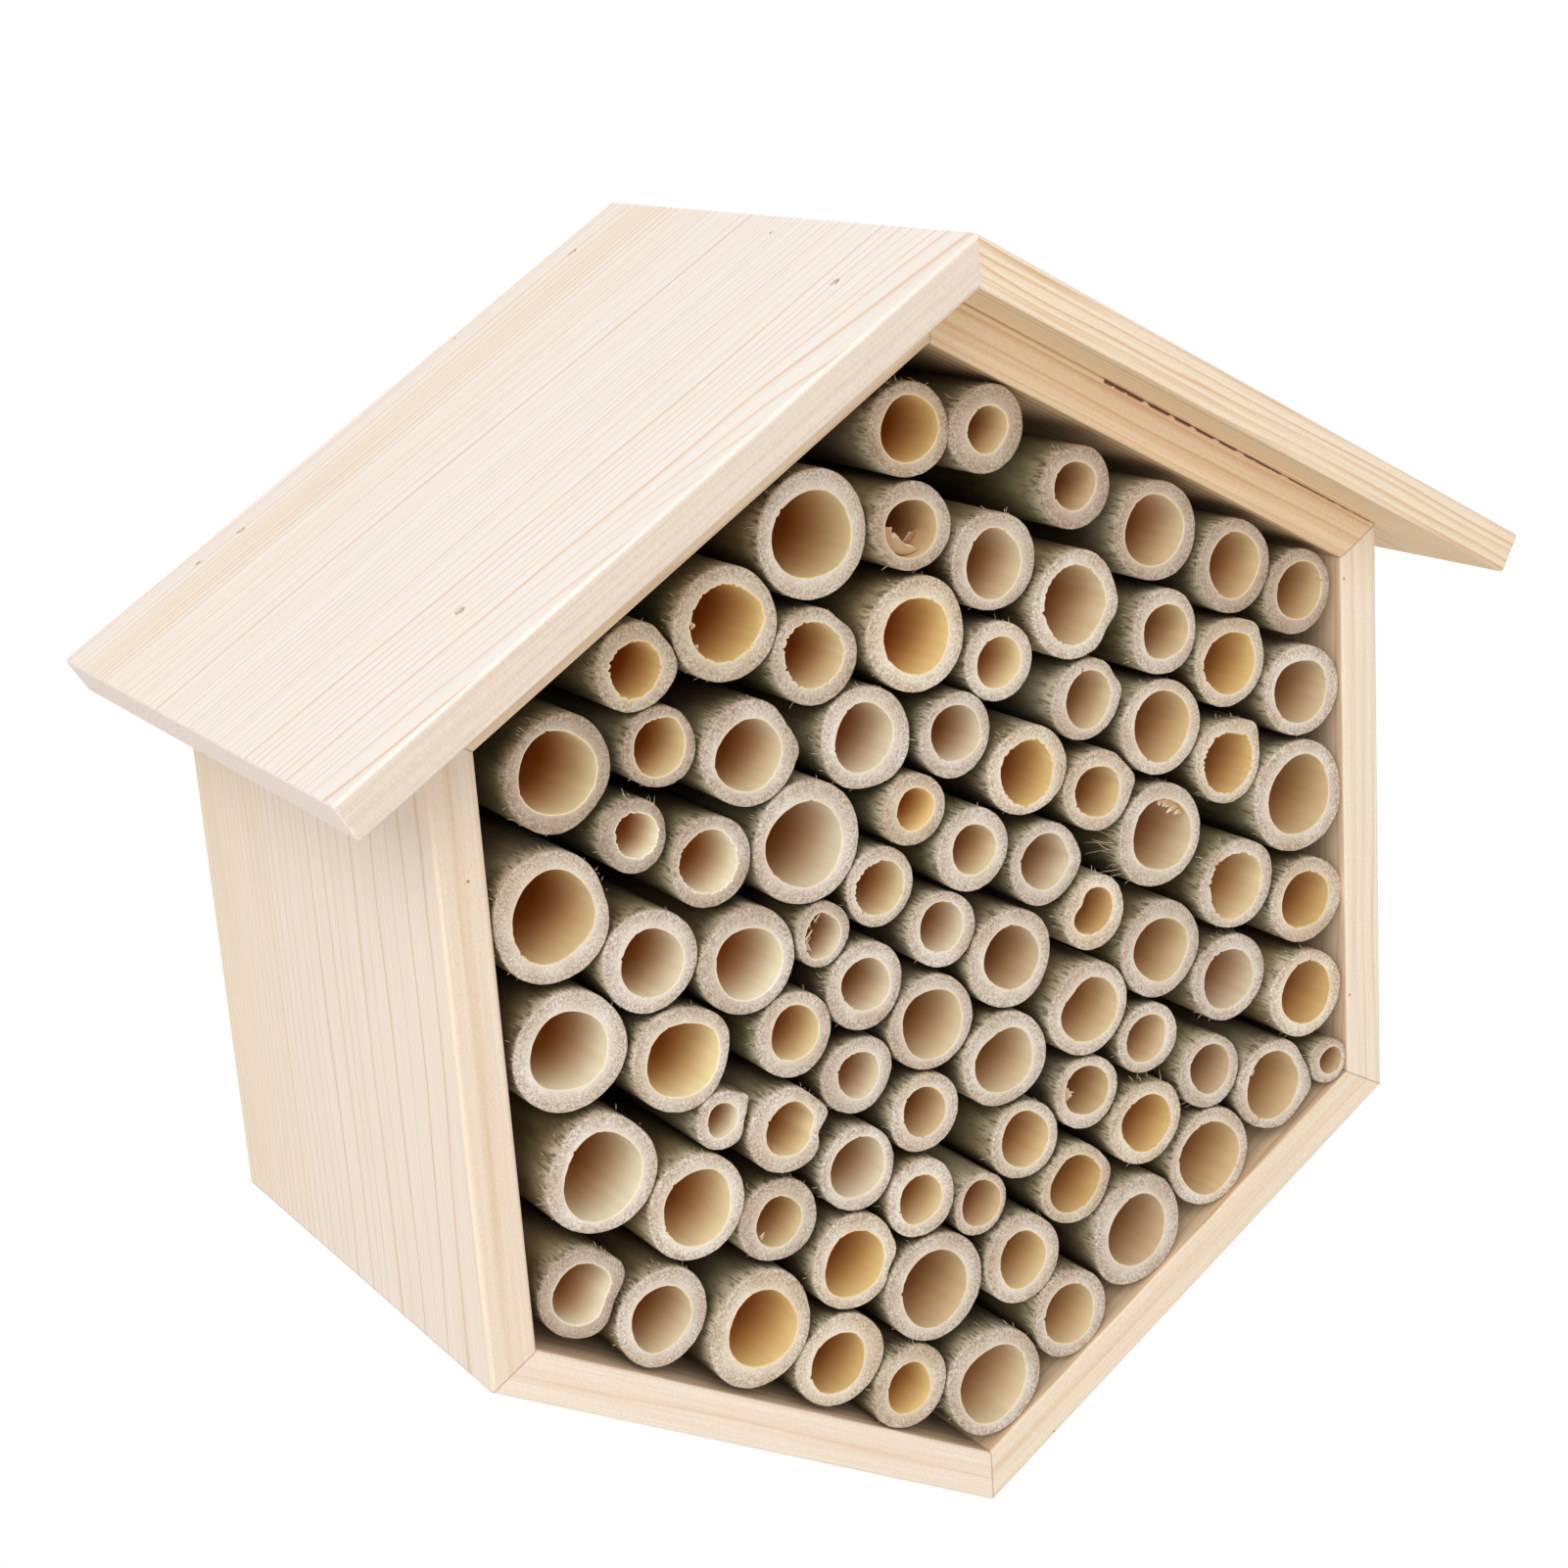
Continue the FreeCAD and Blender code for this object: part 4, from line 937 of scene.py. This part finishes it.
def strands(starts, runs, bends, radii, look):
    # thin rods: start + run * s + bend * s squared, each with its own radius, which tapers to both ends
    s = np.linspace(0, 1, look["rows"])[None, :, None]
    lines = starts[:, None] + runs[:, None] * s + bends[:, None] * s ** 2
    ahead = runs[:, None] + 2 * bends[:, None] * s
    ahead = ahead / np.linalg.norm(ahead, axis=-1, keepdims=True)
    side = np.cross(ahead, askew)
    side = side / np.linalg.norm(side, axis=-1, keepdims=True)
    over = np.cross(ahead, side)
    turn = np.linspace(0, 2 * math.pi, look["sides"], endpoint=False)[None, None, :, None]
    fullness = 1 - ((s - look["thickest"]) / (1 - look["thickest"])) ** 2
    taper = radii[:, None, None, None] * np.sqrt(np.maximum(fullness, look["thinnest"] ** 2))[..., None]
    return lines[:, :, None] + taper * (np.cos(turn) * side[:, :, None] + np.sin(turn) * over[:, :, None])


def nearestCane(x, z):
    # the cane whose centre is nearest a place in the front
    return allTubes[np.argmin(np.hypot(allTubes[:, 0] - x, allTubes[:, 1] - z))]


def makeFibres(look, material):
    # a random number of hairs round every rim, then the tufts, each fibre a strand of its own
    draws = np.random.default_rng(look["seed"])
    starts, runs, bends, radii = [], [], [], []

    def grow(cane, radius, angle, depth, length, lift, thick=look["radius"]):
        # one fibre from the rim: outwards by lift, the rest straight back along the skin or on into the bore
        out = np.array([math.cos(angle), 0, math.sin(angle)])
        starts.append(np.array([cane[0], cane[4] + depth, cane[1]]) + radius * out)
        back = np.array([0, math.sqrt(max(look["leastBack"], 1 - lift * lift)), 0])
        stray = draws.normal(0, look["stray"], 3)
        runs.append(length * (out * lift + back + stray * abs(lift)))
        bends.append(length * draws.normal(0, look["bend"], 3))
        radii.append(thick)

    for cane in allTubes:
        for angle in draws.uniform(0, 2 * math.pi, draws.integers(0, 2 * look["hairs"])):
            length = draws.uniform(*look["hairLength"])
            depth = draws.uniform(*look["hairDepth"])
            grow(cane, cane[2] - look["hairSunk"], angle, depth, length, draws.uniform(*look["hairLift"]))
    for x, z, turn, spread, many, length, lift in look["tufts"]:
        cane = nearestCane(x, z)
        for angle in np.radians(draws.uniform(turn - spread, turn + spread, many)):
            depth = draws.uniform(*look["tuftDepth"])
            share = draws.uniform(*look["tuftShare"])
            grow(cane, cane[2] - look["tuftSunk"], angle, depth, length * share, lift)
    for x, z, turn, spread, many, length in look["boreTufts"]:
        cane = nearestCane(x, z)
        for angle in np.radians(draws.uniform(turn - spread, turn + spread, many)):
            depth = draws.uniform(*look["boreDepth"])
            share = draws.uniform(*look["boreShare"])
            radius = cane[3] + look["boreSunk"]
            grow(cane, radius, angle, depth, length * share, look["boreLift"], look["boreRadius"])
    points = strands(np.array(starts), np.array(runs), np.array(bends), np.array(radii), look)
    slotOfRow = np.zeros(look["rows"], dtype=np.int32)
    return putGrid("bamboo_fibres", points, slotOfRow, [material], {}, ring=False)


# Torn remains of the thin wall across a culm: the cane's place, middle angle, half-span, reach to the centre
# as a share of the bore, depth and bulge. sunk: their root in the bore's wall; knots: turns of the torn edge
membraneLook = {
    "thick": 0.12, "thinEdge": 0.2, "lensCurve": 0.7, "ragged": 0.3, "knots": 9, "sunk": 1.01,
    "columns": 25, "rows": 9, "seed": 3,
    "pieces": [
        (-5, 68, 228, 68, 0.75, 2.0, 2.5), (-5, 68, 300, 40, 0.4, 5.5, -1.5),
        (24.5, -35.5, 172, 18, 0.42, 0.3, 0.3), (42, 6, 62, 12, 0.25, 0.3, 1.5),
        (42, 6, 45, 7, 0.3, 0.6, 1.2), (42, 6, 80, 8, 0.2, 0.4, 1.0), (42, 6, 30, 6, 0.2, 0.8, 0.8),
        (-26, 5.5, 195, 55, 0.45, 2.0, 0.5),
        (66, -45.5, 145, 7, 0.22, 0.3, 0.3), (-38, -40, 215, 6, 0.25, 0.3, 0.3),
        (-39.5, 58.5, 172, 6, 0.14, 0.2, 0.2), (-39.5, 58.5, 206, 4, 0.1, 0.2, 0.1),
    ],
}


def makeMembranes(look, material):
    # each is a lens-shaped flap: from the bore's wall a ragged share of the way to the centre, with a bulge
    draws = np.random.default_rng(look["seed"])
    across = np.linspace(-1, 1, look["columns"])[None, :]
    inwards = np.linspace(0, 1, look["rows"])
    out = np.concatenate([inwards, inwards[::-1]])[:, None]
    under = np.repeat([look["thick"], 0.0], look["rows"])[:, None]
    lens = np.cos(across * math.pi / 2) ** look["lensCurve"]
    knots = np.linspace(-1, 1, look["knots"])
    flaps = []
    for x, z, turn, span, reach, depth, bulge in look["pieces"]:
        cane = nearestCane(x, z)
        angle = np.radians(turn + across * span)
        ragged = 1 + look["ragged"] * np.interp(across, knots, draws.uniform(-1, 1, look["knots"]))
        radius = cane[3] * look["sunk"] * (1 - reach * lens * ragged * out)
        y = cane[4] + depth + bulge * out ** 2 * lens + under * (look["thinEdge"] + lens)
        flap = np.broadcast_arrays(cane[0] + radius * np.cos(angle), y, cane[1] + radius * np.sin(angle))
        flaps.append(np.stack(flap, axis=-1))
    points = np.swapaxes(np.array(flaps), 1, 2)
    torn = np.broadcast_to(out[:, 0], points.shape[:3])
    slotOfRow = np.zeros(look["columns"], dtype=np.int32)
    return putGrid("bamboo_membranes", points, slotOfRow, [material], {"torn": torn}, ring=False)


threadLook = {"mottle": 2.5, "shades": [(0.35, "#C6B48E"), (0.65, "#E2D6BC")], "rough": 0.7}
pithLook = {"shades": [(0.0, "#B08B60"), (0.7, "#CDB08A"), (0.9, "#F4EBDC")], "rough": 0.7}


def fibreMaterial(look):
    # dry bamboo fibre: pale, matt threads
    material, tree, shader = newMaterial("bamboo fibre")
    place = addNode(tree, "TexCoord").outputs["Object"]
    mottle = addNode(tree, "TexNoise", {"Scale": 1 / (look["mottle"] * mm), "Detail": 1.0}, Vector=place)
    colour = addNode(tree, "ValToRGB", {"stops": look["shades"]}, Fac=mottle)
    finishMaterial(tree, shader, colour, look["rough"])
    return material


def pithMaterial(look):
    # pith skin torn across a culm: brown where it grows from the wall, almost white along the torn edge
    material, tree, shader = newMaterial("bamboo pith skin")
    torn = addNode(tree, "Attribute", {"attribute_name": "torn"})
    colour = addNode(tree, "ValToRGB", {"stops": look["shades"]}, Fac=torn)
    finishMaterial(tree, shader, colour, look["rough"])
    return material


fibres = makeFibres(fibreLook, fibreMaterial(threadLook))
membranes = makeMembranes(membraneLook, pithMaterial(pithLook))
for piece in (fibres, membranes):
    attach(piece, "cane_stack")
print("fibres and membranes made")
